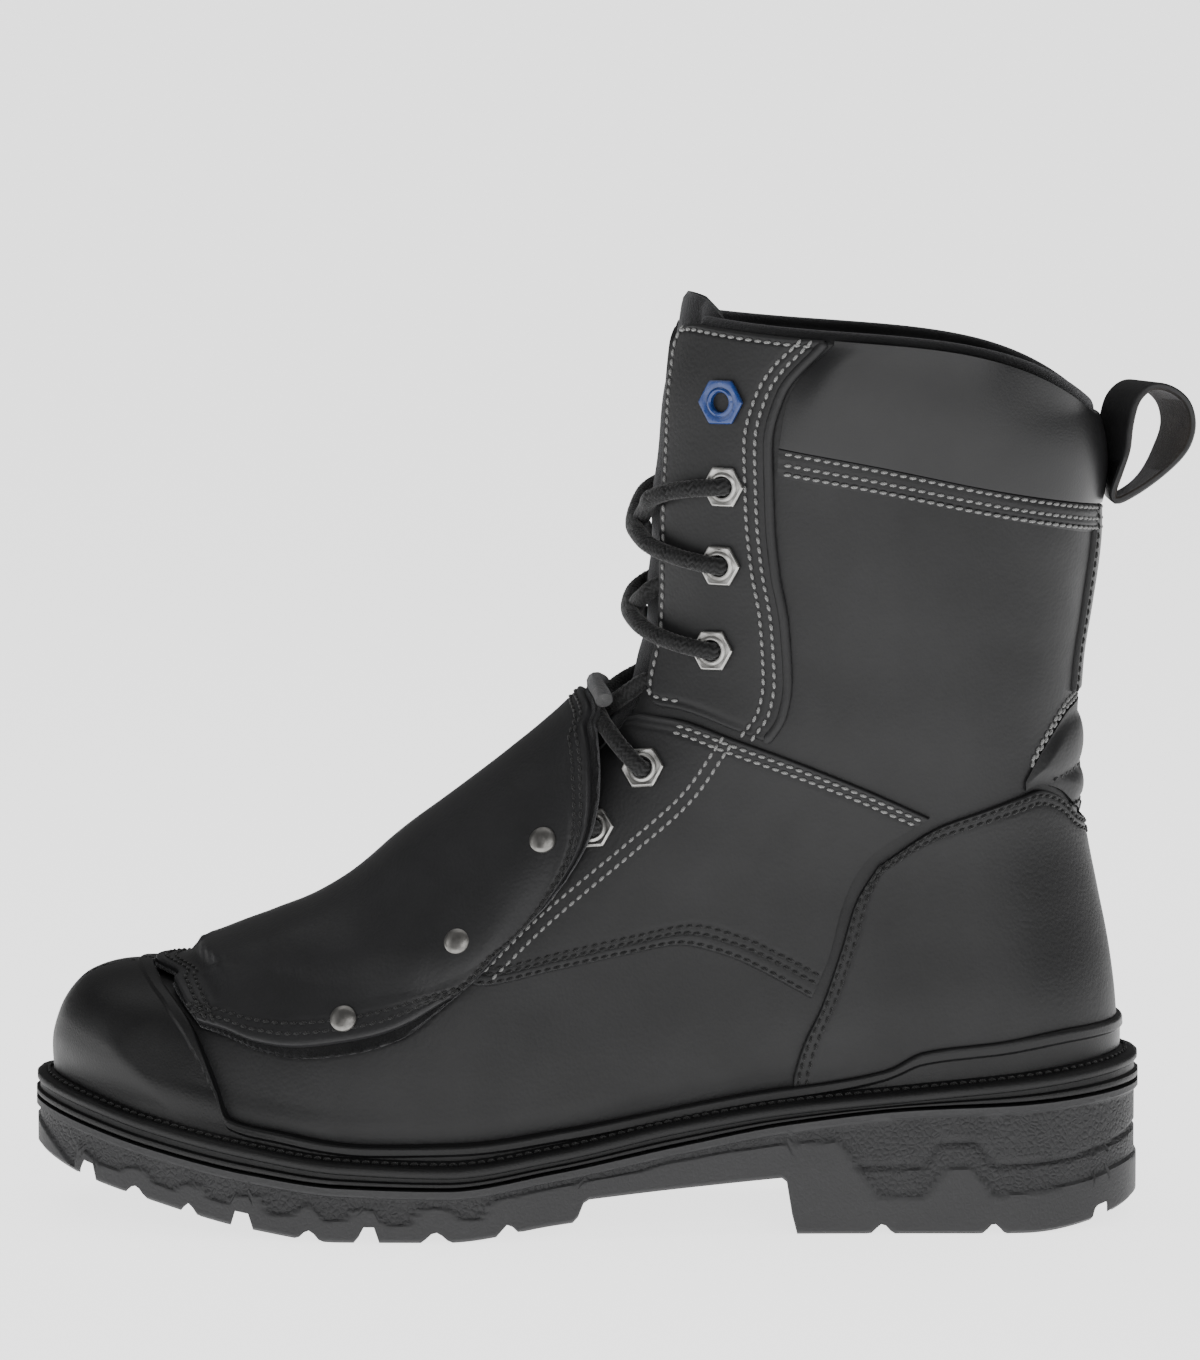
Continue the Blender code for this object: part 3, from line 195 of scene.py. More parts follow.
def side_half(x, side, inset=0.0):
    """Half width of the plan outline at x, drawn in by inset."""
    full = np.where(np.asarray(side) < 0, SOLE["lateral"](x), SOLE["medial"](x)) - inset
    toe = rounding((x - TOE_TIP - inset) / (TOE_ROUND - inset), TOE_POWER)
    heel = rounding((HEEL_END - inset - x) / (HEEL_ROUND - inset), HEEL_POWER)
    return full * toe * heel


def feather_z(x):
    return SOLE["welt_edge"](x) - WELT_THICK + SOLE_BED


def halve(top, shape, is_past):
    """Where between 0 and top a test turns true, found by halving."""
    low = np.zeros(shape)
    high = np.full(shape, top)
    for _ in range(40):
        middle = (low + high) / 2
        past = is_past(middle)
        high = np.where(past, middle, high)
        low = np.where(past, low, middle)
    return (low + high) / 2


def ring_line(theta, v):
    """Side view point of the ring v at the angle theta, 0 at the front and pi at the back."""
    share = (1 - np.cos(theta)) / 2
    front_x = RING["front_x"](v)
    front_z = RING["front_z"](v)
    x = front_x + (RING["back_x"](v) - front_x) * share
    chord = front_z + (RING["back_z"](v) - front_z) * share
    feather_front = RING["front_x"](0.0)
    low_share = np.clip((x - feather_front) / (RING["back_x"](0.0) - feather_front), 0.0, 1.0)
    low_z = RING["front_z"](0.0)
    low_chord = low_z + (RING["back_z"](0.0) - low_z) * low_share
    dip = RING["follow"](v) * (feather_z(x) - low_chord)
    dip = dip * (1 - np.cos(theta) ** 6 * np.clip(v / 0.06, 0.0, 1.0))
    turn = np.clip(np.abs(theta) / math.pi, 0.0, 1.0)
    return x, chord + dip + RING["lift"](v) * np.sin(math.pi * turn ** 1.6) ** 2


PROFILE_STEPS = np.linspace(0.0, 1.0, 121)
FRONT_LINE = np.stack([RING["front_x"](PROFILE_STEPS), RING["front_z"](PROFILE_STEPS)], axis=1)
BACK_LINE = np.stack([RING["back_x"](PROFILE_STEPS), RING["back_z"](PROFILE_STEPS)], axis=1)
LOW_RINGS = [row for row in RINGS if row[0] < 0.2]
TOE_FRONT = smooth_track([row[2] for row in LOW_RINGS], [row[1] for row in LOW_RINGS])
HEEL_BACK = smooth_track([row[4] for row in LOW_RINGS], [row[3] for row in LOW_RINGS])


def line_distance(x, z, line):
    """Shortest distance in the side view from each point to a profile line."""
    start = line[:-1]
    along = line[1:] - start
    nearest = np.full(np.shape(x), np.inf)
    for (start_x, start_z), (run_x, run_z) in zip(start, along):
        share = np.clip(((x - start_x) * run_x + (z - start_z) * run_z) / (run_x ** 2 + run_z ** 2), 0.0, 1.0)
        gap = (x - start_x - share * run_x) ** 2 + (z - start_z - share * run_z) ** 2
        nearest = np.minimum(nearest, gap)
    return np.sqrt(nearest)


def half_width(x, z, side):
    """Half width of the upper's outer form at a side view point."""
    rise = z - feather_z(x)
    foot = np.where(np.asarray(side) < 0, SOLE["lateral"](x), SOLE["medial"](x)) - UPPER_LEDGE
    heel_share = smoothstep(-20.0, 60.0, x)
    lean = LEAN["forefoot"](rise) * (1 - heel_share) + LEAN["heel"](rise) * heel_share
    shaft_share = smoothstep(SHAFT_FROM, SHAFT_FULL, z)
    width = foot * lean * (1 - shaft_share) + SHAFT_HALF(z) * shaft_share
    near_feather = 1 - smoothstep(0.0, 16.0, rise)
    front = line_distance(x, z, FRONT_LINE)
    plan_front = np.maximum(x - TOE_FRONT(z), front)
    front = front * (1 - near_feather) + plan_front * near_feather
    plan_radius = TOE_ROUND - UPPER_LEDGE
    crown = plan_radius + (RIDGE_RADIUS(x) - plan_radius) * smoothstep(4.0, 36.0, rise)
    back = line_distance(x, z, BACK_LINE)
    plan_back = np.maximum(HEEL_BACK(z) - x, back)
    back = back * (1 - near_feather) + plan_back * near_feather
    heel_radius = HEEL_ROUND - UPPER_LEDGE + 6.0 * smoothstep(60.0, 200.0, z)
    return width * rounding(front / crown, TOE_POWER) * rounding(back / heel_radius, HEEL_POWER)


def centre_y(x):
    """The toe's middle swings a little to the inner side."""
    return TOE_CENTRE_SHIFT * smoothstep(-40.0, -150.0, x)


def form(theta, v):
    """Point of the upper's outer form. theta runs 0 at the front to pi at the back,
    negative on the outer side, and v from 0 at the feather line to 1 at the collar. Both
    sides meet exactly in the front line and in the back line."""
    theta, v = np.broadcast_arrays(np.asarray(theta, float), np.asarray(v, float))
    side = np.where(theta < 0, -1.0, 1.0)
    x, z = ring_line(np.abs(theta), v)
    from_seam = np.minimum(np.abs(theta), math.pi - np.abs(theta))
    y = side * half_width(x, z, side) * np.clip(from_seam / CLOSE_SEAM, 0.0, 1.0)
    return np.stack([x, y + centre_y(x), z], axis=-1)


def wrap(theta):
    """Angles past the back of the heel come round to the other side."""
    return (np.asarray(theta, float) + math.pi) % (2 * math.pi) - math.pi


def form_normal(theta, v):
    step = 0.004
    across = form(wrap(theta + step), v) - form(wrap(theta - step), v)
    up = form(wrap(theta), np.minimum(v + step, 1.0)) - form(wrap(theta), np.maximum(v - step, 0.0))
    normal = np.cross(up, across)
    return normal / np.linalg.norm(normal, axis=-1, keepdims=True)


def skin(theta, v, offset):
    """Point at a height above (or, negative, below) the upper's outer form."""
    theta, v, offset = np.broadcast_arrays(theta, v, offset)
    return form(wrap(theta), v) + form_normal(theta, v) * offset[..., None]


def locate(x, z):
    """The ring angle and ring value of side view points on the form."""
    x = np.asarray(x, float)
    z = np.asarray(z, float)

    def angle(v):
        span = RING["back_x"](v) - RING["front_x"](v)
        return np.arccos(1 - 2 * np.clip((x - RING["front_x"](v)) / span, 0.0, 1.0))

    value = halve(1.0, x.shape, lambda v: ring_line(angle(v), v)[1] > z)
    return angle(value), value


def seam(points, side=OUTER):
    """A seam drawn in the side view, as ring angles and values on one side."""
    theta, v = locate([p[0] for p in points], [p[1] for p in points])
    return np.stack([side * theta, v], axis=1)


def mirrored(line, about=0.0):
    """The line on the other side of the front line or, about pi, of the back line."""
    other = line.copy()
    other[:, 0] = 2 * about - other[:, 0]
    return other


def arc_shares(line):
    steps = np.linalg.norm(np.diff(line, axis=0), axis=1)
    along = np.concatenate([[0.0], np.cumsum(steps)])
    return along / along[-1]


def at_shares(line, shares):
    """Points of a line at shares of its length."""
    line = np.asarray(line, float)
    along = arc_shares(line)
    return np.stack([np.interp(shares, along, line[:, k]) for k in range(line.shape[1])], axis=-1)


def resample(line, count):
    return at_shares(line, np.linspace(0.0, 1.0, count))


def curve_through(points, count=160):
    """Smooth line through given points."""
    points = np.asarray(points, float)
    shares = arc_shares(points)
    places = np.linspace(0.0, 1.0, count * 3)
    tracks = [smooth_track(shares, points[:, k])(places) for k in range(points.shape[1])]
    return resample(np.stack(tracks, axis=1), count)


def ring_value_at(theta, height):
    """Ring value where each angle's column meets a height that is a function of x."""
    def above(v):
        x, z = ring_line(np.abs(wrap(theta)), v)
        return z > height(x)

    return halve(1.0, theta.shape, above)


THROAT_COLUMNS = ("v", "half_gap")
THROAT = (
    (0.48, 0.0),
    (0.53, 11.0),
    (0.58, 15.0),
    (0.66, 18.0),
    (0.78, 19.5),
    (0.90, 19.0),
    (1.00, 15.5),
)
THROAT_GAP = table_track(THROAT, THROAT_COLUMNS, "v", "half_gap")


def throat_theta(v):
    """Ring angle of the throat's edge, where the upper is cut open to the half gap."""
    v = np.asarray(v, float)
    edge = halve(math.pi / 3, v.shape, lambda theta: half_width(*ring_line(theta, v), -1.0) > THROAT_GAP(v))
    return np.where(THROAT_GAP(v) > 0.01, edge, 0.0)


# Meshes

RIPPLE = 0.22


def ripple(points):
    """Faint unevenness of hand-lasted leather, in millimetres."""
    x, y, z = points[..., 0], points[..., 1], points[..., 2]
    slow = np.sin(x / 19.0 + 1.7 * np.sin(z / 27.0)) * np.sin(z / 15.0 + y / 21.0 + 0.8)
    quick = np.sin(x / 8.3 - z / 9.1 + 1.1 * np.sin(y / 11.0)) * np.sin(z / 7.7 + x / 12.3)
    return RIPPLE * (slow + 0.45 * quick)


def leather_at(theta, v, offset):
    """Point at a height over the upper's form, with the leather's own unevenness."""
    theta, v, offset = np.broadcast_arrays(theta, v, offset)
    base = form(wrap(theta), v)
    return base + form_normal(theta, v) * (offset + ripple(base))[..., None]


def in_scene(name, data):
    """A new object that holds the data, linked to the scene."""
    thing = bpy.data.objects.new(name, data)
    bpy.context.scene.collection.objects.link(thing)
    return thing


def piece_of(name, points, faces, materials, face_slots=None, sharp=38.0):
    """Mesh object with smooth faces, made from millimetre points."""
    data = bpy.data.meshes.new(name)
    data.from_pydata((np.asarray(points).reshape(-1, 3) * MM).tolist(), [], faces)
    for material in materials:
        data.materials.append(material)
    if face_slots is not None:
        data.polygons.foreach_set("material_index", face_slots)
    mesh = bmesh.new()
    mesh.from_mesh(data)
    bmesh.ops.remove_doubles(mesh, verts=mesh.verts, dist=2e-6)
    bmesh.ops.recalc_face_normals(mesh, faces=mesh.faces)
    if mesh.calc_volume(signed=True) < 0:
        bmesh.ops.reverse_faces(mesh, faces=mesh.faces)
    mesh.to_mesh(data)
    mesh.free()
    data.shade_smooth()
    data.set_sharp_from_angle(angle=math.radians(sharp))
    return in_scene(name, data)


def stand_for(piece, material_slot, *nodes):
    """The piece rides on the boot and is shown in place of these solids."""
    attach(piece, BODY)
    if nodes:
        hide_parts(*nodes)
    return piece


def grid_faces(rows, columns, first=0, ring=False, flip=False):
    faces = []
    for r in range(rows - 1):
        for c in range(columns if ring else columns - 1):
            d = (c + 1) % columns
            quad = [first + r * columns + c, first + r * columns + d,
                    first + (r + 1) * columns + d, first + (r + 1) * columns + c]
            faces.append(quad[::-1] if flip else quad)
    return faces


def shell(name, outer, inner, materials, open_from=0, ring=False):
    """Closed wall between two grids. Rows before open_from have their ends joined."""
    rows, columns = outer.shape[:2]
    points = np.concatenate([outer.reshape(-1, 3), inner.reshape(-1, 3)])
    under = rows * columns
    faces = grid_faces(rows, columns)
    slots = [0] * len(faces)
    faces += grid_faces(rows, columns, under, flip=True)
    slots += [len(materials) - 1] * (len(faces) - len(slots))
    last = (rows - 1) * columns
    for c in range(columns - 1):
        faces.append((c + 1, c, under + c, under + c + 1))
        faces.append((last + c, last + c + 1, under + last + c + 1, under + last + c))
    if not ring:
        for r in range(max(open_from - 1, 0), rows - 1):
            a = r * columns
            b = a + columns
            faces.append((a, b, under + b, under + a))
            a += columns - 1
            b += columns - 1
            faces.append((b, a, under + a, under + b))
    slots += [0] * (len(faces) - len(slots))
    return piece_of(name, points, faces, materials, slots)


# Leather panels over the upper

EDGES = ("left", "right", "start", "end")
EDGE_STEPS = (0.0, 0.12, 0.35, 0.7, 1.1)
EDGE_ROUND = 1.0
GROOVE_DEPTH = 0.32
GROOVE_HALF = 0.75
SUNK = 0.5


def patch(start, end, left, right):
    """A surface filled between four edge lines of ring angles and values. start and end run
    left to right, left and right run from start to end. Gives a function of two shares."""
    start, end, left, right = (resample(line, 161) for line in (start, end, left, right))

    def at(across, along):
        a = np.asarray(across)[None, :, None]
        b = np.asarray(along)[:, None, None]
        ruled = (1 - b) * at_shares(start, across)[None] + b * at_shares(end, across)[None]
        ruled = ruled + (1 - a) * at_shares(left, along)[:, None] + a * at_shares(right, along)[:, None]
        corners = (1 - b) * ((1 - a) * start[0] + a * start[-1]) + b * ((1 - a) * end[0] + a * end[-1])
        return ruled - corners

    return at


def edged_shares(length, spacing, seams):
    """Shares of a length, close together by both ends, where an edge is rounded and sewn."""
    near = np.concatenate([EDGE_STEPS, np.arange(EDGE_STEPS[-1] + 0.6, seams, 0.6)]) / length
    count = max(int(length * (1 - 2 * near[-1]) / spacing), 1)
    middle = np.linspace(near[-1], 1 - near[-1], count + 2)[1:-1]
    return np.concatenate([near, middle, 1 - near[::-1]])


def run_lengths(points, axis):
    steps = np.linalg.norm(np.diff(points, axis=axis), axis=2)
    pad = [(0, 0), (0, 0)]
    pad[axis] = (1, 0)
    return np.cumsum(np.pad(steps, pad), axis=axis)


def lay_out(surface, spacing, seams=0.0):
    """Grid of ring angles and values over a patch, with each point's distance from the edges.
    It is finer up to the distance in from the edges where the last row of stitches runs."""
    trial = surface(np.linspace(0, 1, 15), np.linspace(0, 1, 15))
    points = form(wrap(trial[..., 0]), trial[..., 1])
    width = run_lengths(points, 1)[:, -1].mean()
    height = run_lengths(points, 0)[-1].mean()
    across = edged_shares(width, spacing, min(seams, 0.4 * width))
    along = edged_shares(height, spacing, min(seams, 0.4 * height))
    lattice = surface(across, along)
    base = form(wrap(lattice[..., 0]), lattice[..., 1])
    from_left = run_lengths(base, 1)
    from_start = run_lengths(base, 0)
    return {
        "lattice": lattice,
        "theta": lattice[..., 0],
        "v": lattice[..., 1],
        "left": from_left,
        "right": from_left[:, -1:] - from_left,
        "start": from_start,
        "end": from_start[-1:] - from_start,
    }


def from_edge(plan, sides=EDGES):
    """Distance from the nearest of a panel's edges."""
    return np.minimum.reduce([plan[side] for side in sides])


def rounded_off(distance, radius):
    """How far a surface drops beside a free edge that is rounded to a radius."""
    return radius * (1 - np.sqrt(1 - (1 - np.clip(distance / radius, 0.0, 1.0)) ** 2))


def panel_height(plan, thick, grooves, free=EDGES):
    """Height over the panel: full inside, rounded at free edges, pressed in along its seams."""
    height = thick - rounded_off(from_edge(plan, free), EDGE_ROUND)
    for side, inset in grooves:
        press = np.exp(-((plan[side] - inset) / GROOVE_HALF) ** 2)
        height = height - GROOVE_DEPTH * press
    return height


def inset_row(plan, side, inset, first=0.0, last=1.0):
    """Ring angles and values of the line at a distance in from one edge of a panel."""
    lattice = plan["lattice"]
    if side in ("start", "end"):
        lattice = lattice.transpose(1, 0, 2)
        gap = plan[side].T
    else:
        gap = plan[side]
    order = 1 if side in ("left", "start") else -1
    line = []
    for row, distance in zip(lattice, gap):
        reach = distance[::order]
        line.append([np.interp(inset, reach, row[::order, k]) for k in range(2)])
    return at_shares(np.array(line), np.linspace(first, last, 200))


THREADS = {"white": [], "black": []}


def sew(colour, line, height):
    """Adds a row of stitches along ring angles and values, at a height over the form."""
    theta, v = line[:, 0], line[:, 1]
    THREADS[colour].append((leather_at(theta, v, height), form_normal(theta, v)))


def sew_rows(colour, plan, side, insets, height, first=0.0, last=1.0):
    for inset in insets:
        sew(colour, inset_row(plan, side, inset, first, last), height)


def ends_of(left, right, place):
    """The edge line that joins two side lines at one of their ends."""
    return np.stack([left[place], right[place]])


def leather_panel(name, plan, height, material):
    """Panel sewn flat on the upper, its underside a little sunk into what it lies on."""
    outer = leather_at(plan["theta"], plan["v"], height)
    return shell(name, outer, leather_at(plan["theta"], plan["v"], -SUNK), [material])


def padded_panel(name, plan, height, material):
    """Like leather_panel, but its underside follows the form without the leather's unevenness."""
    outer = leather_at(plan["theta"], plan["v"], height)
    piece = shell(name, outer, skin(plan["theta"], plan["v"], -SUNK), [material])
    return piece


def word(side):
    return "outer" if side < 0 else "inner"


# Upper

COLLAR_PADDING = 3.5
UPPER_WALL = 2.2
UPPER_ROWS = 120
CLOSED_ROWS = 50
UPPER_COLUMNS = 240
THROAT_FROM = 0.48
# The upper's front corners are rounded over this share of its height and this much turn.
CORNER_SHARE = 0.042
CORNER_TURN = 0.27


def upper_wall(v):
    """Leather and lining, thicker where the collar is padded."""
    return UPPER_WALL + COLLAR_PADDING * smoothstep(0.86, 0.93, v) * (1 - 0.6 * smoothstep(0.97, 1.0, v))


def make_upper(leather, lining):
    """Vamp and shaft in one hollow wall, lined inside, open at collar, throat and underneath."""
    closed = np.linspace(0.0, THROAT_FROM, CLOSED_ROWS)
    opened = np.linspace(THROAT_FROM, 1.0, UPPER_ROWS - CLOSED_ROWS + 1)[1:]
    rows = np.concatenate([closed, opened])[:, None]
    share = np.linspace(0.0, 1.0, UPPER_COLUMNS)[None, :]
    corner = np.clip((rows - (1 - CORNER_SHARE)) / CORNER_SHARE, 0.0, 1.0)
    opening = throat_theta(rows) + CORNER_TURN * (1 - np.sqrt(1 - corner ** 2))
    theta = opening + (2 * math.pi - 2 * opening) * share
    outer = leather_at(theta, rows, 0.0)
    inner = skin(theta, rows, -upper_wall(rows))
    inner[0, :, 2] = outer[0, :, 2]
    piece = shell("upper_leather", outer, inner, [leather, lining], open_from=len(closed))
    return stand_for(piece, "black_leather", "upper")


PANEL = 1.7
STITCH_SINK = 0.12
THROAT_SETBACK = 0.012

QUARTER_TOP = ((6.0, 143.5), (10.0, 145.0), (18.0, 144.5), (36.0, 139.0), (70.0, 126.0), (90.0, 117.0))
QUARTER_LOW = ((-47.0, 86.0), (-36.0, 70.5), (-15.0, 74.5), (5.0, 78.5), (20.0, 81.0), (33.0, 78.0),
               (46.0, 72.0), (57.0, 66.0))
QUARTER_REAR = ((57.0, 66.0), (62.0, 78.0), (66.0, 93.0), (72.0, 104.5), (90.0, 117.0))
FACING_REAR = ((44.0, 138.5), (48.5, 146.0), (50.0, 155.0), (49.0, 172.0), (46.5, 186.0), (45.0, 202.0),
               (44.5, 222.0), (48.0, 236.0), (60.0, 250.5))
FACING_LOW = ((8.5, 147.5), (18.0, 147.0), (36.0, 141.5), (44.0, 138.5))
LACE_STAY_SEAM = ((32.0, 139.0), (22.0, 124.5), (5.0, 109.0), (-9.0, 97.5), (-22.0, 86.5), (-34.0, 75.0))
STAY_SEAM_GAP = 2.1


def throat_line(v_from, v_to, side, setback=THROAT_SETBACK):
    values = np.linspace(v_from, v_to, 120)
    return np.stack([side * (throat_theta(values) + setback), values], axis=1)


def make_quarter(side, leather):
    """Panel from the throat back to the counter, over the vamp's rear and the shaft's foot."""
    low = seam(curve_through(QUARTER_LOW), side)
    top_back = seam(curve_through(QUARTER_TOP), side)
    top = np.concatenate([throat_line(0.545, top_back[0, 1], side), top_back[1:]])
    rear = seam(curve_through(QUARTER_REAR), side)
    front = np.stack([low[0], top[0]])
    plan = lay_out(patch(low, top, front, rear), 1.7, 7.8)
    top_from = len(throat_line(0, 1, side))
    turn = float(arc_shares(form(top[:, 0], top[:, 1]))[top_from])
    black = (0.9, 4.2, 6.5)
    white = (2.0, 4.2)
    grooves = [("start", inset) for inset in black] + [("end", inset) for inset in white]
    height = panel_height(plan, PANEL, grooves, free=("start", "end", "left"))
    piece = leather_panel("quarter_%s_leather" % word(side), plan, height, leather)
    surface = PANEL - STITCH_SINK
    sew_rows("black", plan, "start", black, surface, 0.02, 0.99)
    sew_rows("white", plan, "end", white, surface, turn * 0.9, 0.985)
    stay = seam(curve_through(LACE_STAY_SEAM), side)
    behind = seam(curve_through([(x + STAY_SEAM_GAP, z - STAY_SEAM_GAP) for x, z in LACE_STAY_SEAM]), side)
    for line in (stay, behind):
        sew("white", line, PANEL - STITCH_SINK)
    return stand_for(piece, "black_leather", "quarter_" + word(side))


PIPING_RADIUS = 1.5
TUBE_SIDES = 12


def round_corner(front, top, rise, run):
    """Rounds the corner where the front line ends and the top line starts."""
    front = resample(front, 200)
    top = resample(top, 200)
    up = run_length(front)
    back = run_length(top)
    start = np.array([np.interp(up[-1] - rise, up, front[:, k]) for k in range(2)])
    end = np.array([np.interp(run, back, top[:, k]) for k in range(2)])
    turn = np.linspace(0.0, math.pi / 2, 30)[:, None]
    corner = front[-1]
    arc = corner + (start - corner) * (1 - np.sin(turn)) + (end - corner) * (1 - np.cos(turn))
    half = len(arc) // 2
    front = np.concatenate([front[up < up[-1] - rise], arc[:half + 1]])
    top = np.concatenate([arc[half:], top[back > run]])
    return front, top


def round_foot(low, front, rise, run):
    """Rounds the corner where both the lower line and the front line start."""
    turned_front, turned_low = round_corner(front[::-1], low, rise, run)
    return turned_low, turned_front[::-1]


def run_length(line):
    points = form(wrap(line[:, 0]), line[:, 1])
    steps = np.linalg.norm(np.diff(points, axis=0), axis=1)
    return np.concatenate([[0.0], np.cumsum(steps)])


def make_facing(side, leather):
    """Eyestay on the shaft beside the throat, up to the collar, with a rolled rear edge."""
    low = seam(curve_through(FACING_LOW), side)
    front = throat_line(low[0, 1], 1.0, side)
    low[0] = front[0]
    rear = seam(curve_through(FACING_REAR), side)
    rear[-1, 1] = 1.0
    rear = at_shares(rear, np.linspace(0, 1, 161))
    top = np.stack([front[-1], rear[-1]])
    front, top = round_corner(front, top, 10.0, 15.0)
    low, front = round_foot(low, front, 14.0, 10.0)
    plan = lay_out(patch(low, top, front, rear), 1.6, 7.8)
    white = (3.6, 6.6)
    grooves = [("left", 2.4), ("end", 2.4), ("start", 2.4)] + [("right", inset) for inset in white]
    piece = leather_panel("facing_%s_leather" % word(side), plan, panel_height(plan, PANEL, grooves), leather)
    surface = PANEL - STITCH_SINK
    sew_rows("white", plan, "left", (2.4,), surface, 0.05, 0.965)
    sew_rows("white", plan, "end", (2.4,), surface, 0.085, 0.93)
    sew_rows("white", plan, "start", (2.4,), surface, 0.06, 0.3)
    sew_rows("white", plan, "right", white, surface, 0.0, 0.985)
    stand_for(piece, "black_leather", "facing_" + word(side))
    line = at_shares(rear, np.linspace(0.0, 0.995, 150))
    roll = tube("facing_roll_" + word(side), leather_at(line[:, 0], line[:, 1], 0.9), PIPING_RADIUS, leather)
    return stand_for(roll, "black_leather")


def heading(line):
    """Unit direction of a path at each of its points."""
    ahead = np.gradient(line, axis=0)
    return ahead / np.linalg.norm(ahead, axis=1, keepdims=True)


def swept(name, line, across, radii, material, sharp):
    """Closed cord along points, with a radius for each point and each side of its section."""
    sides = radii.shape[1]
    upward = np.cross(across, heading(line))
    turn = np.linspace(0, 2 * math.pi, sides, endpoint=False)[None, :, None]
    ring = np.cos(turn) * across[:, None] + np.sin(turn) * upward[:, None]
    faces = grid_faces(len(line), sides, ring=True)
    faces.append(tuple(range(sides))[::-1])
    last = (len(line) - 1) * sides
    faces.append(tuple(range(last, last + sides)))
    return piece_of(name, line[:, None] + ring * radii[..., None], faces, [material], sharp=sharp)


def tube(name, line, radius, material):
    """Round cord along points, a little thinner at its very ends."""
    ahead = heading(line)
    across = np.cross(ahead, steady_side(ahead))
    across /= np.linalg.norm(across, axis=1, keepdims=True)
    radii = np.full((len(line), TUBE_SIDES), radius)
    radii[0] = radii[-1] = radius * 0.6
    return swept(name, line, across, radii, material, 60.0)


def steady_side(ahead):
    """A side direction that turns as little as possible along a path."""
    side = np.cross(ahead[0], (0.3, 1.0, 0.2))
    sides = []
    for direction in ahead:
        side = side - direction * np.dot(side, direction)
        side = side / np.linalg.norm(side)
        sides.append(side)
    return np.array(sides)


def round_heel(points):
    """A side view line carried from the inner side round the heel to the outer side."""
    line = seam(curve_through(points), INNER)
    line[-1, 0] = math.pi
    return resample(np.concatenate([line, mirrored(line[-2::-1], math.pi)]), 321)


COUNTER_SIDE = ((52.0, 43.5), (54.5, 52.0), (60.0, 64.0), (65.5, 80.0), (69.5, 93.0), (75.5, 103.0))
COUNTER_TOP = ((75.5, 103.0), (93.0, 114.5), (104.0, 118.5), (116.0, 122.5), (121.0, 124.0),
               (126.0, 122.0), (131.0, 116.5), (137.2, 111.0))
COUNTER_THICK = 2.0


def make_counter(leather):
    top = round_heel(COUNTER_TOP)
    first = seam(curve_through(COUNTER_SIDE), INNER)
    first[-1] = top[0]
    last = mirrored(first, math.pi)
    theta = np.linspace(first[0, 0], last[0, 0], 161)
    low = np.stack([theta, ring_value_at(theta, rand_top_z) - 0.004], axis=1)
    first[0] = low[0]
    last[0] = low[-1]
    plan = lay_out(patch(low, top, first, last), 1.9, 5.2)
    rows = (1.5, 3.8)
    sides = ("left", "right", "end")
    grooves = [(edge, inset) for edge in sides for inset in rows]
    piece = leather_panel("counter_leather", plan, panel_height(plan, COUNTER_THICK, grooves, sides), leather)
    for edge in sides:
        sew_rows("black", plan, edge, rows, COUNTER_THICK - STITCH_SINK, 0.015, 0.985)
    return stand_for(piece, "black_leather", "heel_counter")


COLLAR_LOW = ((47.5, 221.0), (77.0, 215.5), (106.0, 209.5), (138.4, 203.5))
COLLAR_FRONT = ((47.5, 221.0), (49.5, 233.0), (54.0, 241.5), (62.5, 249.5))
COLLAR_PUFF = 3.0
COLLAR_EDGE = 0.8
BAND_DEPTH = 9.0
BAND_THICK = 1.3
BAND_TUCK = 0.25


def make_collar(leather, band_leather, fabric):
    """Padded collar, the shaft's top edge sewn over its foot, and the lining rolled over its rim."""
    low = round_heel(COLLAR_LOW)
    front = seam(curve_through(COLLAR_FRONT), INNER)
    front[-1, 1] = 1.0
    back = mirrored(front, math.pi)
    top = np.stack([front[-1], back[-1]])
    plan = lay_out(patch(low, top, front, back), 2.2)
    tall = plan["start"] / plan["start"][-1:]
    side = np.minimum(plan["left"], plan["right"])
    puff = COLLAR_PUFF * np.sin(math.pi * np.clip(tall * 0.86 + 0.05, 0, 1)) ** 0.75
    puff = puff * smoothstep(-1.0, 9.0, side) ** 0.6
    piece = padded_panel("collar_leather_pad", plan, COLLAR_EDGE + puff, leather)
    stand_for(piece, "collar_leather", "collar_pad")
    foot = low.copy()
    base = form(wrap(low[:, 0]), low[:, 1])
    rise = np.linalg.norm(form(wrap(low[:, 0]), low[:, 1] + 0.02) - base, axis=1) / 0.02
    foot[:, 1] -= BAND_DEPTH / rise
    plan = lay_out(patch(foot, low, ends_of(foot, low, 0), ends_of(foot, low, -1)), 1.6, 8.0)
    rows = (1.2, 4.3, 6.9)
    taper = smoothstep(0.0, 3.0, plan["start"])
    height = panel_height(plan, BAND_THICK, [("end", row) for row in rows], free=("end",))
    height = (height + BAND_TUCK) * taper - BAND_TUCK
    stand_for(leather_panel("collar_band", plan, height, band_leather), "black_leather")
    sew_rows("white", plan, "end", rows, BAND_THICK - STITCH_SINK, 0.012, 0.988)
    turn = np.linspace(throat_theta(1.0) + CORNER_TURN, 2 * math.pi - throat_theta(1.0) - CORNER_TURN, 260)
    rim = tube("collar_rim", leather_at(turn, 1.0, -1.5) + np.array([0.0, 0.0, 0.3]), 2.2, fabric)
    return stand_for(rim, "collar_leather")


ACHILLES_LOW = ((117.0, 124.0), (121.0, 125.6), (127.0, 123.4), (131.5, 118.4), (136.5, 113.0))
ACHILLES_TOP = ((117.0, 126.5), (120.0, 132.0), (125.0, 140.0), (129.0, 145.5), (133.4, 148.5))
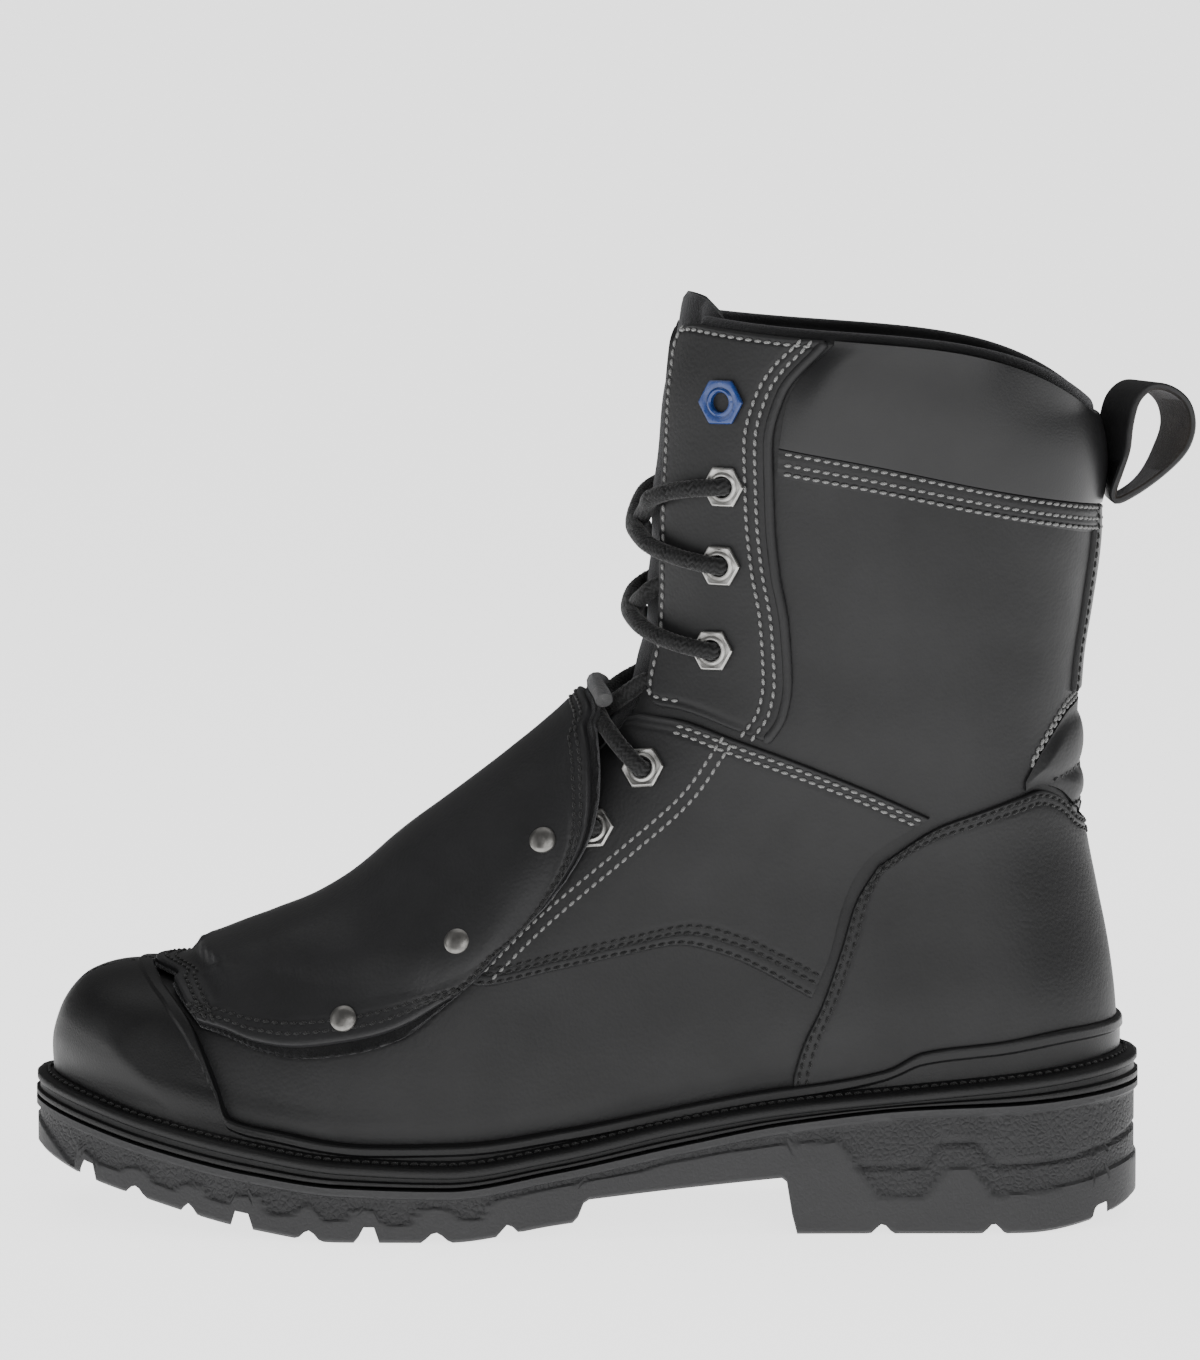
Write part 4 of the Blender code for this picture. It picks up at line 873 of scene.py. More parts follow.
# Heights along the back line between the ribs, their slope in the side view, and where a
# row of stitches between two of them starts and ends.
RIB_LEVELS = (110.5, 119.9, 130.1, 144.6)
RIB_SLOPE = 0.37
RIB_SEAMS = ((125.5, -3.5), (130.5, -1.7), (135.0, 0.0))
RIB_PUFF = 1.9


def make_achilles_pad(leather):
    """Flex pad above the counter, in three padded ribs, with two rows of stitches round it."""
    low = round_heel(ACHILLES_LOW)
    top = round_heel(ACHILLES_TOP)
    plan = lay_out(patch(low, top, ends_of(low, top, 0), ends_of(low, top, -1)), 1.1)
    base = form(wrap(plan["theta"]), plan["v"])
    level = base[..., 2] - RIB_SLOPE * (base[..., 0] - RIB_SEAMS[-1][0])
    rib = np.interp(level, RIB_LEVELS, range(len(RIB_LEVELS)))
    puff = RIB_PUFF * np.abs(np.sin(math.pi * rib)) ** 0.6 * smoothstep(0.0, 5.0, from_edge(plan))
    piece = padded_panel("achilles_ribs", plan, 0.8 + puff, leather)
    above = top.copy()
    for gap in (1.2, 3.4):
        line = above.copy()
        line[:, 1] = line[:, 1] + gap / 245.0
        sew("white", at_shares(line, np.linspace(0.03, 0.97, 240)), 0.15)
    for level in RIB_LEVELS[1:-1]:
        sew("black", round_heel([(x, level + drop) for x, drop in RIB_SEAMS]), 0.95)
    return stand_for(piece, "collar_leather", "achilles_pad")


# Ends of the strip on the back line, and its half width as a turn about the boot.
STRIP_ENDS = ((133.6, 150.6), (138.4, 203.0))
STRIP_TURN = 0.27
STRIP_THICK = 1.5
STRIP_ROW = 1.8


def make_back_strip(leather):
    """Leather strip down the back seam, from the collar to the flex pad."""
    low_v, high_v = locate(*zip(*STRIP_ENDS))[1]
    values = np.linspace(low_v, high_v, 80)
    left = np.stack([np.full(80, math.pi - STRIP_TURN), values], axis=1)
    right = mirrored(left, math.pi)
    plan = lay_out(patch(ends_of(left, right, 0), ends_of(left, right, -1), left, right), 1.6, 3.0)
    grooves = [("left", STRIP_ROW), ("right", STRIP_ROW)]
    piece = leather_panel("back_strip_leather", plan, panel_height(plan, STRIP_THICK, grooves), leather)
    for edge in ("left", "right"):
        sew_rows("black", plan, edge, (STRIP_ROW,), STRIP_THICK - STITCH_SINK, 0.02, 0.98)
    return stand_for(piece, "black_leather", "back_strip")


# Rubber rand and toe cap

RAND_EDGE = (
    (-160.0, 90.0), (-133.5, 71.5), (-128.0, 68.0), (-125.0, 65.0), (-121.0, 61.5),
    (-117.0, 57.5), (-113.0, 50.5), (-110.0, 43.5), (-105.5, 33.0), (-92.0, 30.0),
    (-66.0, 26.6), (-41.0, 27.0), (-10.0, 30.6), (35.0, 38.4), (78.0, 46.0), (88.0, 51.0),
    (110.0, 54.0), (130.0, 57.0), (145.0, 57.6),
)
RAND_THICK = 2.8
RAND_ROUND = 1.2
RAND_BED = 1.8
RIM_WIDTH = 2.6
RIM_RISE = 0.75


def rand_top_z(x):
    return smooth_track([p[0] for p in RAND_EDGE], [p[1] for p in RAND_EDGE])(x)


def make_rand(rubber):
    """Toe cap and rand in one moulding, with a raised rim along its upper edge."""
    half = np.concatenate([np.linspace(0.0, 0.55, 50), np.linspace(0.56, 1.0, 130),
                           np.linspace(1.008, math.pi, 150)])
    theta = np.concatenate([half, 2 * math.pi - half[-2::-1]])
    low = ring_value_at(theta, lambda x: SOLE["welt_edge"](x) + RAND_BED)
    high = ring_value_at(theta, rand_top_z)
    span = np.linalg.norm(form(wrap(theta), high) - form(wrap(theta), low), axis=1)
    share = np.concatenate([np.linspace(0.0, 0.86, 34), np.linspace(0.87, 1.0, 22)])[:, None]
    v = low + (high - low) * share
    from_top = (1 - share) * span[None, :]
    rim = RIM_RISE * smoothstep(RIM_WIDTH + 0.9, RIM_WIDTH, from_top)
    height = RAND_THICK + rim - rounded_off(from_top, RAND_ROUND)
    theta = np.broadcast_to(theta[None, :], v.shape)
    outer = skin(theta, v, height)
    inner = skin(theta, v, -SUNK)
    outer[0, :, 2] = inner[0, :, 2]
    piece = shell("toe_cap_and_rand", outer, inner, [rubber], ring=True)
    return stand_for(piece, "rand_rubber", "rubber_rand")


# Tongue

TONGUE_THICK = 3.6
TONGUE_FROM = 0.50
TONGUE_RISE = 7.0
TONGUE_TUCK = 1.2


def tongue_surface(across, values, lift):
    spread = throat_theta(values) + 0.10 + 0.22 * smoothstep(0.62, 0.95, values)
    theta = across * spread
    tucked = -(upper_wall(values) + TONGUE_TUCK)
    crown = np.clip(1 - (np.abs(theta) / np.maximum(throat_theta(values), 0.05)) ** 2, 0.0, 1.0)
    height = tucked + 2.2 * smoothstep(0.53, 0.62, values) * crown + lift
    height = height + (upper_wall(values) - upper_wall(0.5)) * crown ** 2
    points = skin(theta, values, height)
    tall = TONGUE_RISE * smoothstep(0.9, 1.0, values) * (1 - 0.75 * across ** 2)
    points[..., 2] += tall
    points[..., 0] += 0.35 * tall
    return points


def make_tongue(suede):
    values = np.linspace(TONGUE_FROM, 1.0, 110)[:, None]
    across = np.linspace(-1.0, 1.0, 61)[None, :]
    edge = np.minimum(1 - np.abs(across), (1.0 - values) * 5.0)
    thinner = 1.6 * rounded_off(edge / 0.07, 1.0)
    wave = 0.35 * np.sin(values * 95.0) * smoothstep(0.6, 0.7, values) * (1 - across ** 2)
    outer = tongue_surface(across, values, wave - thinner)
    inner = tongue_surface(across, values, -TONGUE_THICK + thinner)
    piece = shell("tongue_suede", outer, inner, [suede])
    return stand_for(piece, "black_suede", "tongue")


# Metatarsal guard

GUARD_FRONT = ((-114.0, 56.5), (-119.6, 61.8), (-123.6, 66.2))
GUARD_RIDGE_FRONT = -130.0
GUARD_LOW = ((-114.0, 56.5), (-106.0, 54.5), (-97.0, 51.5), (-86.0, 50.0), (-72.0, 51.5), (-57.0, 56.0),
             (-43.0, 66.5))
GUARD_REAR = ((-43.0, 66.5), (-36.0, 72.5), (-27.2, 81.5), (-16.8, 91.5), (-9.6, 100.5), (-4.0, 110.0),
              (-0.8, 120.0), (0.6, 130.0), (1.4, 138.5))
GUARD_RIDGE_REAR = 2.4
PAD_THICK = 1.9
COVER_THICK = 1.9
COVER_GAP = 0.12
# The cover is smaller than the suede all round, by this share of its size.
COVER_TRIM = 0.0095
RIDGE_LIFT = 6.6
UNDER_GUARD = 0.8
GUARD_ROWS = (3.2, 5.9)
PLATE_STEP = 4.4
FELT_SHIFT = (2.6, 0.0, 0.9)
FELT_RADIUS = 2.5


def ridge_value(x):
    """Ring value where the front profile reaches x."""
    steps = np.linspace(0.2, 1.0, 400)
    return float(np.interp(x, RING["front_x"](steps), steps))


def guard_line(points, ridge_x):
    """Edge line of the guard from its outer side over the ridge to its inner side."""
    outer = seam(curve_through(points), OUTER)
    theta, v = outer[-1]
    turn = np.linspace(0.0, math.pi / 2, 40)[1:]
    arch = np.stack([theta * np.cos(turn), v + (ridge_value(ridge_x) - v) * np.sin(turn)], axis=1)
    half = np.concatenate([outer, arch])
    return resample(np.concatenate([half, mirrored(half[-2::-1])]), 321)


def guard_height(theta, v):
    """Height of the guard's underside: on the vamp in front, over quarters and laces behind."""
    x, z = ring_line(np.abs(theta), v)
    half = half_width(x, z, np.where(theta < 0, -1.0, 1.0))
    side_lift = 0.8 + 1.4 * smoothstep(-70.0, -52.0, x) + 2.0 * smoothstep(-48.0, -30.0, x)
    on_ridge = smoothstep(0.42, 0.53, v) * (1 - smoothstep(14.0, 32.0, half))
    return UNDER_GUARD + side_lift + (RIDGE_LIFT - side_lift) * on_ridge


def cover_base(theta, v):
    return guard_height(theta, v) + PAD_THICK * (0.5 + 0.5 * smoothstep(0.30, 0.40, v))


def guard_top(theta, v):
    return cover_base(theta, v) + COVER_GAP + COVER_THICK


def guard_patch():
    front = guard_line(GUARD_FRONT, GUARD_RIDGE_FRONT)
    rear = guard_line(GUARD_REAR, GUARD_RIDGE_REAR)
    outer = seam(curve_through(GUARD_LOW), OUTER)
    return patch(front, rear, outer, mirrored(outer))


def make_guard(leather, suede, felt):
    """Flap of smooth leather over a suede under-layer that shows round its edge."""
    surface = guard_patch()
    plan = lay_out(surface, 1.9)
    theta, v = plan["theta"], plan["v"]
    edge = from_edge(plan)
    rough = 0.35 * np.sin(plan["left"] * 2.9 + plan["start"] * 3.7) * (edge < 1.3)
    base = guard_height(theta, v)
    thick = cover_base(theta, v) - base + rough
    pad = shell("guard_suede", leather_at(theta, v, base + thick - 0.35 * (edge < 0.3)),
                leather_at(theta, v, base + 0.3 * (edge < 0.3)), [suede])
    stand_for(pad, "black_suede", "guard_pad")
    plan = lay_out(trim_patch(surface, COVER_TRIM), 1.6, 7.2)
    theta, v = plan["theta"], plan["v"]
    low = cover_base(theta, v) + COVER_GAP
    grooves = [(side, inset) for side in EDGES for inset in GUARD_ROWS]
    height = low + panel_height(plan, COVER_THICK, grooves)
    swell = 0.9 * smoothstep(9.0, 30.0, from_edge(plan))
    swell = swell + plate_swell(theta, v, plan["start"])
    cover = shell("guard_leather", leather_at(theta, v, height + swell), leather_at(theta, v, low), [leather])
    stand_for(cover, "black_leather", "guard_cover")
    for side in EDGES:
        for inset in GUARD_ROWS:
            line = inset_row(plan, side, inset, 0.012, 0.988)
            sew("black", line, guard_top(line[:, 0], line[:, 1]) - STITCH_SINK)
    rim = resample(guard_line(GUARD_REAR, GUARD_RIDGE_REAR), 321)[118:-118]
    line = leather_at(rim[:, 0], rim[:, 1], cover_base(rim[:, 0], rim[:, 1]) + 0.6)
    roll = tube("guard_felt_edge", line + np.array(FELT_SHIFT), FELT_RADIUS, felt)
    return stand_for(roll, "black_suede")


def plate_swell(theta, v, from_front):
    """The leather stands up over the front end of the plate inside, and falls off behind."""
    x, z = ring_line(np.abs(theta), v)
    half = half_width(x, z, np.where(theta < 0, -1.0, 1.0))
    behind = 1 - smoothstep(-92.0, -58.0, x)
    return PLATE_STEP * smoothstep(7.5, 17.0, from_front) * behind * (1 - smoothstep(18.0, 38.0, half))


def trim_patch(surface, trim):
    """The same surface drawn in from its edges by a share of its size."""
    def at(across, along):
        inner = trim + (1 - 2 * trim) * np.asarray(across)
        down = trim + (1 - 2 * trim) * np.asarray(along)
        return surface(inner, down)

    return at


# Hardware

RIVETS = ((-16.2, 106.8), (-41.0, 80.2), (-73.0, 59.8))
EYELETS = ((32.5, 233.5), (33.0, 210.0), (32.0, 188.0), (30.0, 164.0), (10.5, 130.0), (-4.0, 113.0),
           (-18.5, 98.0))
HEX_RADIUS = 6.3
TOP_HEX_RADIUS = 7.0
EYELET_HOLE = 2.75
HEAD_SIDES = 48

# Profile of the hex head from its foot to its hole: radius as a share of the hex radius or, from
# the dish on, in millimetres round the hole, and height.
HEX_PROFILE = ((0.97, 0.0), (1.0, 0.35), (1.0, 1.15), (0.955, 1.5), (0.90, 1.6))
RIM_PROFILE = ((1.75, 1.35), (1.45, 1.3), (1.15, 1.6), (0.75, 1.8), (0.35, 1.72), (0.08, 1.4), (0.0, 0.9),
               (0.0, -0.6))
RIVET_PROFILE = ((3.75, 0.0), (3.85, 0.35), (3.7, 0.75), (3.2, 1.15), (2.4, 1.45), (1.3, 1.62), (0.0, 1.68))


def hexagon(angle):
    """Reach of a unit hexagon's side at an angle, its corners a little rounded."""
    within = (angle + math.pi / 6) % (math.pi / 3) - math.pi / 6
    return min(math.cos(math.pi / 6) / math.cos(math.pi / 6 - abs(within)), 0.985)


def turned(name, loops, material):
    """Template mesh through loops of points, open at its back, in millimetres."""
    sides = len(loops[0])
    points = np.array(loops).reshape(-1, 3)
    data = bpy.data.meshes.new(name)
    data.from_pydata((points * MM).tolist(), [], grid_faces(len(loops), sides, ring=True))
    data.materials.append(material)
    mesh = bmesh.new()
    mesh.from_mesh(data)
    bmesh.ops.remove_doubles(mesh, verts=mesh.verts, dist=1e-7)
    bmesh.ops.holes_fill(mesh, edges=mesh.edges, sides=HEAD_SIDES)
    bmesh.ops.recalc_face_normals(mesh, faces=mesh.faces)
    mesh.to_mesh(data)
    mesh.free()
    data.shade_smooth()
    data.set_sharp_from_angle(angle=math.radians(30))
    return in_scene(name, data)


def eyelet_template(name, radius, material):
    turns = [2 * math.pi * i / HEAD_SIDES for i in range(HEAD_SIDES)]
    loops = [[(radius * reach * hexagon(a) * math.cos(a), radius * reach * hexagon(a) * math.sin(a), z)
              for a in turns] for reach, z in HEX_PROFILE]
    loops += [[((EYELET_HOLE + out) * math.cos(a), (EYELET_HOLE + out) * math.sin(a), z)
               for a in turns] for out, z in RIM_PROFILE]
    loops.append([(EYELET_HOLE * 1.05 * math.cos(a), EYELET_HOLE * 1.05 * math.sin(a), -0.6) for a in turns])
    loops.append(loops[0])
    return turned(name, loops, material)


def rivet_template(name, material):
    turns = [2 * math.pi * i / HEAD_SIDES for i in range(HEAD_SIDES)]
    loops = [[(r * math.cos(a), r * math.sin(a), z) for a in turns] for r, z in RIVET_PROFILE]
    return turned(name, loops, material)


# Geometry Nodes

def add_node(tree, kind, settings=None, values=None, links=None):
    """A node with its settings, socket values and incoming links."""
    node = tree.nodes.new(kind)
    for key, value in (settings or {}).items():
        setattr(node, key, value)
    for key, value in (values or {}).items():
        node.inputs[key].default_value = value
    for key, source in (links or {}).items():
        tree.links.new(source, node.inputs[key])
    return node


def node_group(name, inputs):
    """A geometry tree with named inputs; gives the tree, its input node and its output node."""
    tree = bpy.data.node_groups.new(name, "GeometryNodeTree")
    tree.interface.new_socket("Geometry", in_out="INPUT", socket_type="NodeSocketGeometry")
    for label, kind in inputs:
        tree.interface.new_socket(label, in_out="INPUT", socket_type=kind)
    tree.interface.new_socket("Geometry", in_out="OUTPUT", socket_type="NodeSocketGeometry")
    return tree, tree.nodes.new("NodeGroupInput"), tree.nodes.new("NodeGroupOutput")


def read_vector(tree, label):
    node = add_node(tree, "GeometryNodeInputNamedAttribute", {"data_type": "FLOAT_VECTOR"}, {"Name": label})
    return node.outputs["Attribute"]


def facing_turn(tree, up, along):
    """Rotation with its Z along one direction and its X towards another."""
    kind = "FunctionNodeAlignRotationToVector"
    upright = add_node(tree, kind, {"axis": "Z"}, links={"Vector": up})
    turned_along = add_node(tree, kind, {"axis": "X", "pivot_axis": "Z"},
                            links={"Rotation": upright.outputs["Rotation"], "Vector": along})
    return turned_along.outputs["Rotation"]


def finish_tree(tree, instances, given, output):
    """Ends a tree in real meshes with the material that the tree is given."""
    real = add_node(tree, "GeometryNodeRealizeInstances", links={"Geometry": instances})
    smooth = add_node(tree, "GeometryNodeSetShadeSmooth", links={"Geometry": real.outputs["Geometry"]})
    painted = add_node(tree, "GeometryNodeSetMaterial",
                       links={"Geometry": smooth.outputs["Geometry"], "Material": given.outputs["Material"]})
    tree.links.new(painted.outputs["Geometry"], output.inputs["Geometry"])


STITCH_PITCH = 2.7
STITCH_BEAD = (2.2, 1.0, 1.15)
STITCH_SLANT = 9.0


def stitch_tree():
    """Beads of thread in a row along each edge line of the mesh."""
    tree, given, output = node_group("stitches_along_seams", (
        ("Pitch", "NodeSocketFloat"), ("Bead", "NodeSocketVector"), ("Material", "NodeSocketMaterial")))
    curve = add_node(tree, "GeometryNodeMeshToCurve", links={"Mesh": given.outputs["Geometry"]})
    spaced = add_node(tree, "GeometryNodeResampleCurve", {"mode": "LENGTH"},
                      links={"Curve": curve.outputs["Curve"], "Length": given.outputs["Pitch"]})
    bead = add_node(tree, "GeometryNodeMeshUVSphere", values={"Segments": 8, "Rings": 5, "Radius": 0.5})
    tangent = add_node(tree, "GeometryNodeInputTangent")
    turn = facing_turn(tree, read_vector(tree, "surface_normal"), tangent.outputs["Tangent"])
    slanted = add_node(tree, "FunctionNodeRotateRotation", {"rotation_space": "LOCAL"},
                       {"Rotate By": (0.0, 0.0, math.radians(STITCH_SLANT))}, {"Rotation": turn})
    placed = add_node(tree, "GeometryNodeInstanceOnPoints",
                      links={"Points": spaced.outputs["Curve"], "Instance": bead.outputs["Mesh"],
                             "Rotation": slanted.outputs["Rotation"], "Scale": given.outputs["Bead"]})
    finish_tree(tree, placed.outputs["Instances"], given, output)
    return tree


def heads_tree():
    """A copy of a template piece at each point of the mesh, square to the surface."""
    tree, given, output = node_group("heads_on_points", (
        ("Head", "NodeSocketObject"), ("Material", "NodeSocketMaterial")))
    head = add_node(tree, "GeometryNodeObjectInfo", links={"Object": given.outputs["Head"]})
    turn = facing_turn(tree, read_vector(tree, "surface_normal"), read_vector(tree, "rearward"))
    placed = add_node(tree, "GeometryNodeInstanceOnPoints",
                      links={"Points": given.outputs["Geometry"], "Instance": head.outputs["Geometry"],
                             "Rotation": turn})
    finish_tree(tree, placed.outputs["Instances"], given, output)
    return tree


def seed_mesh(name, points, edges, vectors):
    """Points and edges for a tree to build on, with a named vector for each point."""
    data = bpy.data.meshes.new(name)
    data.from_pydata((np.asarray(points) * MM).tolist(), edges, [])
    for label, values in vectors.items():
        attribute = data.attributes.new(label, "FLOAT_VECTOR", "POINT")
        attribute.data.foreach_set("vector", np.asarray(values, dtype=np.float32).ravel())
    return in_scene(name, data)


def grow(seed, tree, settings):
    """Runs a tree on a seed object and keeps the result as its plain mesh."""
    modifier = seed.modifiers.new("grow", "NODES")
    modifier.node_group = tree
    sockets = {item.name: item.identifier for item in tree.interface.items_tree if item.in_out == "INPUT"}
    for label, value in settings.items():
        modifier[sockets[label]] = value
    seed.update_tag()
    depsgraph = bpy.context.evaluated_depsgraph_get()
    data = bpy.data.meshes.new_from_object(seed.evaluated_get(depsgraph), depsgraph=depsgraph)
    seed.modifiers.remove(modifier)
    seed.data = data
    return seed


def sew_all(white, black):
    """Every row of stitches sewn so far, one piece for each colour of thread."""
    tree = stitch_tree()
    for colour, material in (("white", white), ("black", black)):
        points = []
        normals = []
        edges = []
        for line, normal in THREADS[colour]:
            first = len(points)
            points.extend(line)
            normals.extend(normal)
            edges.extend((first + i, first + i + 1) for i in range(len(line) - 1))
        seed = seed_mesh(colour + "_stitches", points, edges, {"surface_normal": normals})
        bead = tuple(size * MM for size in STITCH_BEAD)
        grow(seed, tree, {"Pitch": STITCH_PITCH * MM, "Bead": bead, "Material": material})
        stand_for(seed, "black_cord")


def surface_place(x, z, side, height):
    """Point and normal at a height over the form, at a side view place."""
    theta, v = locate([x], [z])
    theta = theta * side
    step = 0.02

    def at(turn, value):
        return leather_at(turn, value, height(turn, value))[0]

    normal = np.cross(at(theta, v + step) - at(theta, v - step), at(theta + step, v) - at(theta - step, v))
    return at(theta, v), normal / np.linalg.norm(normal)


def panel_top(theta, v):
    return np.full(v.shape, PANEL)


def set_heads(name, tree, template, material, places, height, material_slot, nodes):
    points = []
    normals = []
    for x, z in places:
        for side in (OUTER, INNER):
            point, normal = surface_place(x, z, side, height)
            points.append(point)
            normals.append(normal)
    rearward = [(1.0, 0.0, 0.0)] * len(points)
    seed = seed_mesh(name, points, [], {"surface_normal": normals, "rearward": rearward})
    grow(seed, tree, {"Head": template, "Material": material})
    bpy.data.objects.remove(template, do_unlink=True)
    return stand_for(seed, material_slot, *nodes)


def make_hardware(nickel, blue, rivet_metal):
    tree = heads_tree()
    sides = ("outer", "inner")
    top = ["eyelet_%s_1" % side for side in sides]
    rest = ["eyelet_%s_%d" % (side, row) for side in sides for row in range(2, 8)]
    rivets = ["rivet_%s_%d" % (side, row) for side in sides for row in range(1, 4)]
    set_heads("top_eyelets", tree, eyelet_template("top_hex", TOP_HEX_RADIUS, blue), blue,
              EYELETS[:1], panel_top, "blue_enamel", top)
    set_heads("hex_eyelets", tree, eyelet_template("hex", HEX_RADIUS, nickel), nickel,
              EYELETS[1:], panel_top, "aged_nickel", rest)
    set_heads("guard_rivets", tree, rivet_template("rivet", rivet_metal), rivet_metal,
              RIVETS, guard_top, "aged_nickel", rivets)


# Laces

LACE_RADIUS = 2.3
LACE_SIDES = 32
LACE_STEP = 0.42
BRAID_STRANDS = 8
BRAID_PITCH = 6.4
BRAID_RELIEF = 0.5
BOTTOM_ROW = 7
OVER_ROW = 2
# From this row down the crossings lie under the guard and have no solids to stand for.
HIDDEN_ROWS_FROM = 5


def smooth_path(points, count):
    """Rounded path through points (Catmull-Rom), in even steps."""
    points = np.asarray(points, float)
    padded = np.concatenate([[2 * points[0] - points[1]], points, [2 * points[-1] - points[-2]]])
    fine = []
    for a, b, c, d in zip(padded, padded[1:], padded[2:], padded[3:]):
        for t in np.linspace(0.0, 1.0, 16, endpoint=False):
            fine.append(0.5 * (2 * b + (c - a) * t + (2 * a - 5 * b + 4 * c - d) * t * t
                               + (3 * b - 3 * c + d - a) * t ** 3))
    fine.append(points[-1])
    return resample(np.array(fine), count)


def lace_path(lower, upper, side):
    """Out of the lower row's eyelet, up across the tongue, and under the other facing or,
    in the last crossing, into its eyelet from outside."""
    theta_a, v_a = (value[0] for value in locate(*[[value] for value in EYELETS[lower - 1]]))
    theta_b, v_b = (value[0] for value in locate(*[[value] for value in EYELETS[upper - 1]]))
    last = upper == OVER_ROW
    steep = lower == 5
    edge_a = float(throat_theta(v_a))
    v_cross = v_a + (v_b - v_a) * 0.46
    v_dive = v_b - (v_b - v_a) * (0.06 if last else 0.2)
    edge_cross = float(throat_theta(v_cross))
    edge_b = float(throat_theta(v_dive))
    over = PANEL + LACE_RADIUS + 1.3
    above_tongue = LACE_RADIUS + 0.6 + (0.9 if side < 0 else -0.9)
    ridge = above_tongue if lower < 6 else above_tongue * 0.6
    stops = [
        (theta_a, v_a, -1.5),
        (theta_a - 0.01, v_a, over * 0.72),
        (theta_a - (theta_a - edge_a) * 0.42, v_a + (v_cross - v_a) * (0.34 if steep else 0.22), over),
        (edge_a + 0.05, v_a + (v_cross - v_a) * (0.66 if steep else 0.48), over - 0.1),
        (edge_cross * 0.62, v_a + (v_cross - v_a) * (0.86 if steep else 0.78), ridge + 0.7),
        (0.0, v_cross, ridge),
        (-edge_cross * 0.62, v_cross + (v_dive - v_cross) * 0.45, ridge + 0.2),
    ]
    if last:
        stops += [
            (-(edge_b + 0.05), v_cross + (v_dive - v_cross) * 0.75, over - 0.2),
            (-(theta_b - (theta_b - edge_b) * 0.45), v_b - (v_b - v_cross) * 0.10, over),
            (-(theta_b - 0.01), v_b, over * 0.7),
            (-theta_b, v_b, -1.5),
        ]
    else:
        stops += [
            (-(edge_b - 0.02), v_dive - (v_dive - v_cross) * 0.12, 0.2),
            (-(edge_b + 0.10), v_dive, -3.4),
        ]
    return np.array([skin(side * theta, v, height) for theta, v, height in stops])


def braided_cord(name, path, material, twist):
    """Cord with the ribs of a round braid in its surface. Each point keeps its rib value, from which the
    cord's material paints shade into the grooves and a highlight onto the ribs.
    """
    length = np.linalg.norm(np.diff(smooth_path(path, 200), axis=0), axis=1).sum()
    count = int(length / LACE_STEP)
    line = smooth_path(path, count)
    turn = np.linspace(0, 2 * math.pi, LACE_SIDES, endpoint=False)[None, :]
    run = (np.arange(count) * LACE_STEP)[:, None] + twist
    wound = BRAID_STRANDS * turn / (2 * math.pi)
    climb = wound + run * BRAID_STRANDS / (2 * BRAID_PITCH)
    fall = wound - run * BRAID_STRANDS / (2 * BRAID_PITCH)
    over = (np.floor(climb) + np.floor(fall)) % 2 < 1
    rib = np.where(over, np.abs(np.sin(math.pi * climb)), np.abs(np.sin(math.pi * fall)))
    radii = LACE_RADIUS - BRAID_RELIEF + BRAID_RELIEF * 1.4 * rib ** 0.7
    cord = swept(name, line, steady_side(heading(line)), radii, material, 70.0)
    # Each point's rib value, kept for the painted shade and painted highlight of the cord's material.
    shade = cord.data.attributes.new("rib", "FLOAT", "POINT")
    shade.data.foreach_set("value", rib.ravel())
    return cord


def make_laces(cord):
    """One lace, criss-crossed from the bottom row up: a pair of strands between each two rows."""
    for lower in range(BOTTOM_ROW, OVER_ROW, -1):
        upper = lower - 1
        nodes = ["lace_crossing_%d" % upper] if upper < HIDDEN_ROWS_FROM else []
        for side in (OUTER, INNER):
            name = "lace_%d_to_%d_%s" % (lower, upper, word(side))
            strand = braided_cord(name, lace_path(lower, upper, side), cord, side)
            stand_for(strand, "black_cord", *nodes)


# Pull loop

PULL_LOOP = ((142.9, 204.5), (148.5, 206.5), (154.5, 211.5), (159.3, 218.0), (161.6, 225.0), (160.3, 231.5),
             (156.0, 235.5), (150.5, 236.5), (146.2, 233.0), (144.2, 226.5), (143.4, 219.0), (142.9, 211.5))
PULL_WIDTH = 20.0
PULL_THICK = 2.1
PULL_SWING = 3.4


def closed_path(points, count):
    """Smooth closed line through points, in even steps, its last point left out."""
    looped = np.asarray(points + points[:3], float)
    path = smooth_path(looped, (count + 1) * 2)
    start = int(np.argmin(np.linalg.norm(path[:30] - looped[1], axis=1)))
    after = path[start + 40:]
    end = start + 40 + int(np.argmin(np.linalg.norm(after - looped[1], axis=1)))
    return resample(path[start:end + 1], count + 1)[:-1]


def make_pull_loop(leather, flesh):
    """Strap sewn into a loop behind the collar, grain side out and flesh side in. It hangs a
    little turned, its inner edge further forward."""
    path = closed_path(PULL_LOOP, 90)
    ahead = np.roll(path, -1, axis=0) - np.roll(path, 1, axis=0)
    ahead /= np.linalg.norm(ahead, axis=1, keepdims=True)
    outward = np.stack([ahead[:, 1], -ahead[:, 0]], axis=1)
    half = PULL_WIDTH / 2
    soft = 0.55
    section = ((-half + soft, 1.0), (half - soft, 1.0), (half, 0.45), (half, -0.45), (half - soft, -1.0),
               (-half + soft, -1.0), (-half, -0.45), (-half, 0.45))
    loops = []
    for y, reach in section:
        edge = path + outward * reach * PULL_THICK / 2
        swung = PULL_SWING * smoothstep(PULL_LOOP[0][1], PULL_LOOP[0][1] + 16.0, edge[:, 1]) * y / half
        loops.append(np.stack([edge[:, 0] - swung, np.full(len(edge), y), edge[:, 1]], axis=1))
    points = np.array(loops + loops[:1])[:-1]
    count = len(path)
    faces = []
    slots = []
    for k in range(len(section)):
        following = (k + 1) % len(section)
        for c in range(count):
            d = (c + 1) % count
            faces.append((k * count + c, k * count + d, following * count + d, following * count + c))
            slots.append(1 if k in (3, 4, 5) else 0)
    piece = piece_of("pull_loop_strap", points, faces, [leather, flesh], slots)
    return stand_for(piece, "black_leather", "pull_loop")


# Sole

SOLE_COUNT = 260


def sole_stations(count):
    share = (1 - np.cos(math.pi * np.linspace(0.0, 1.0, count))) / 2
    even = np.linspace(0.0, 1.0, count)
    return 0.45 * share + 0.55 * even


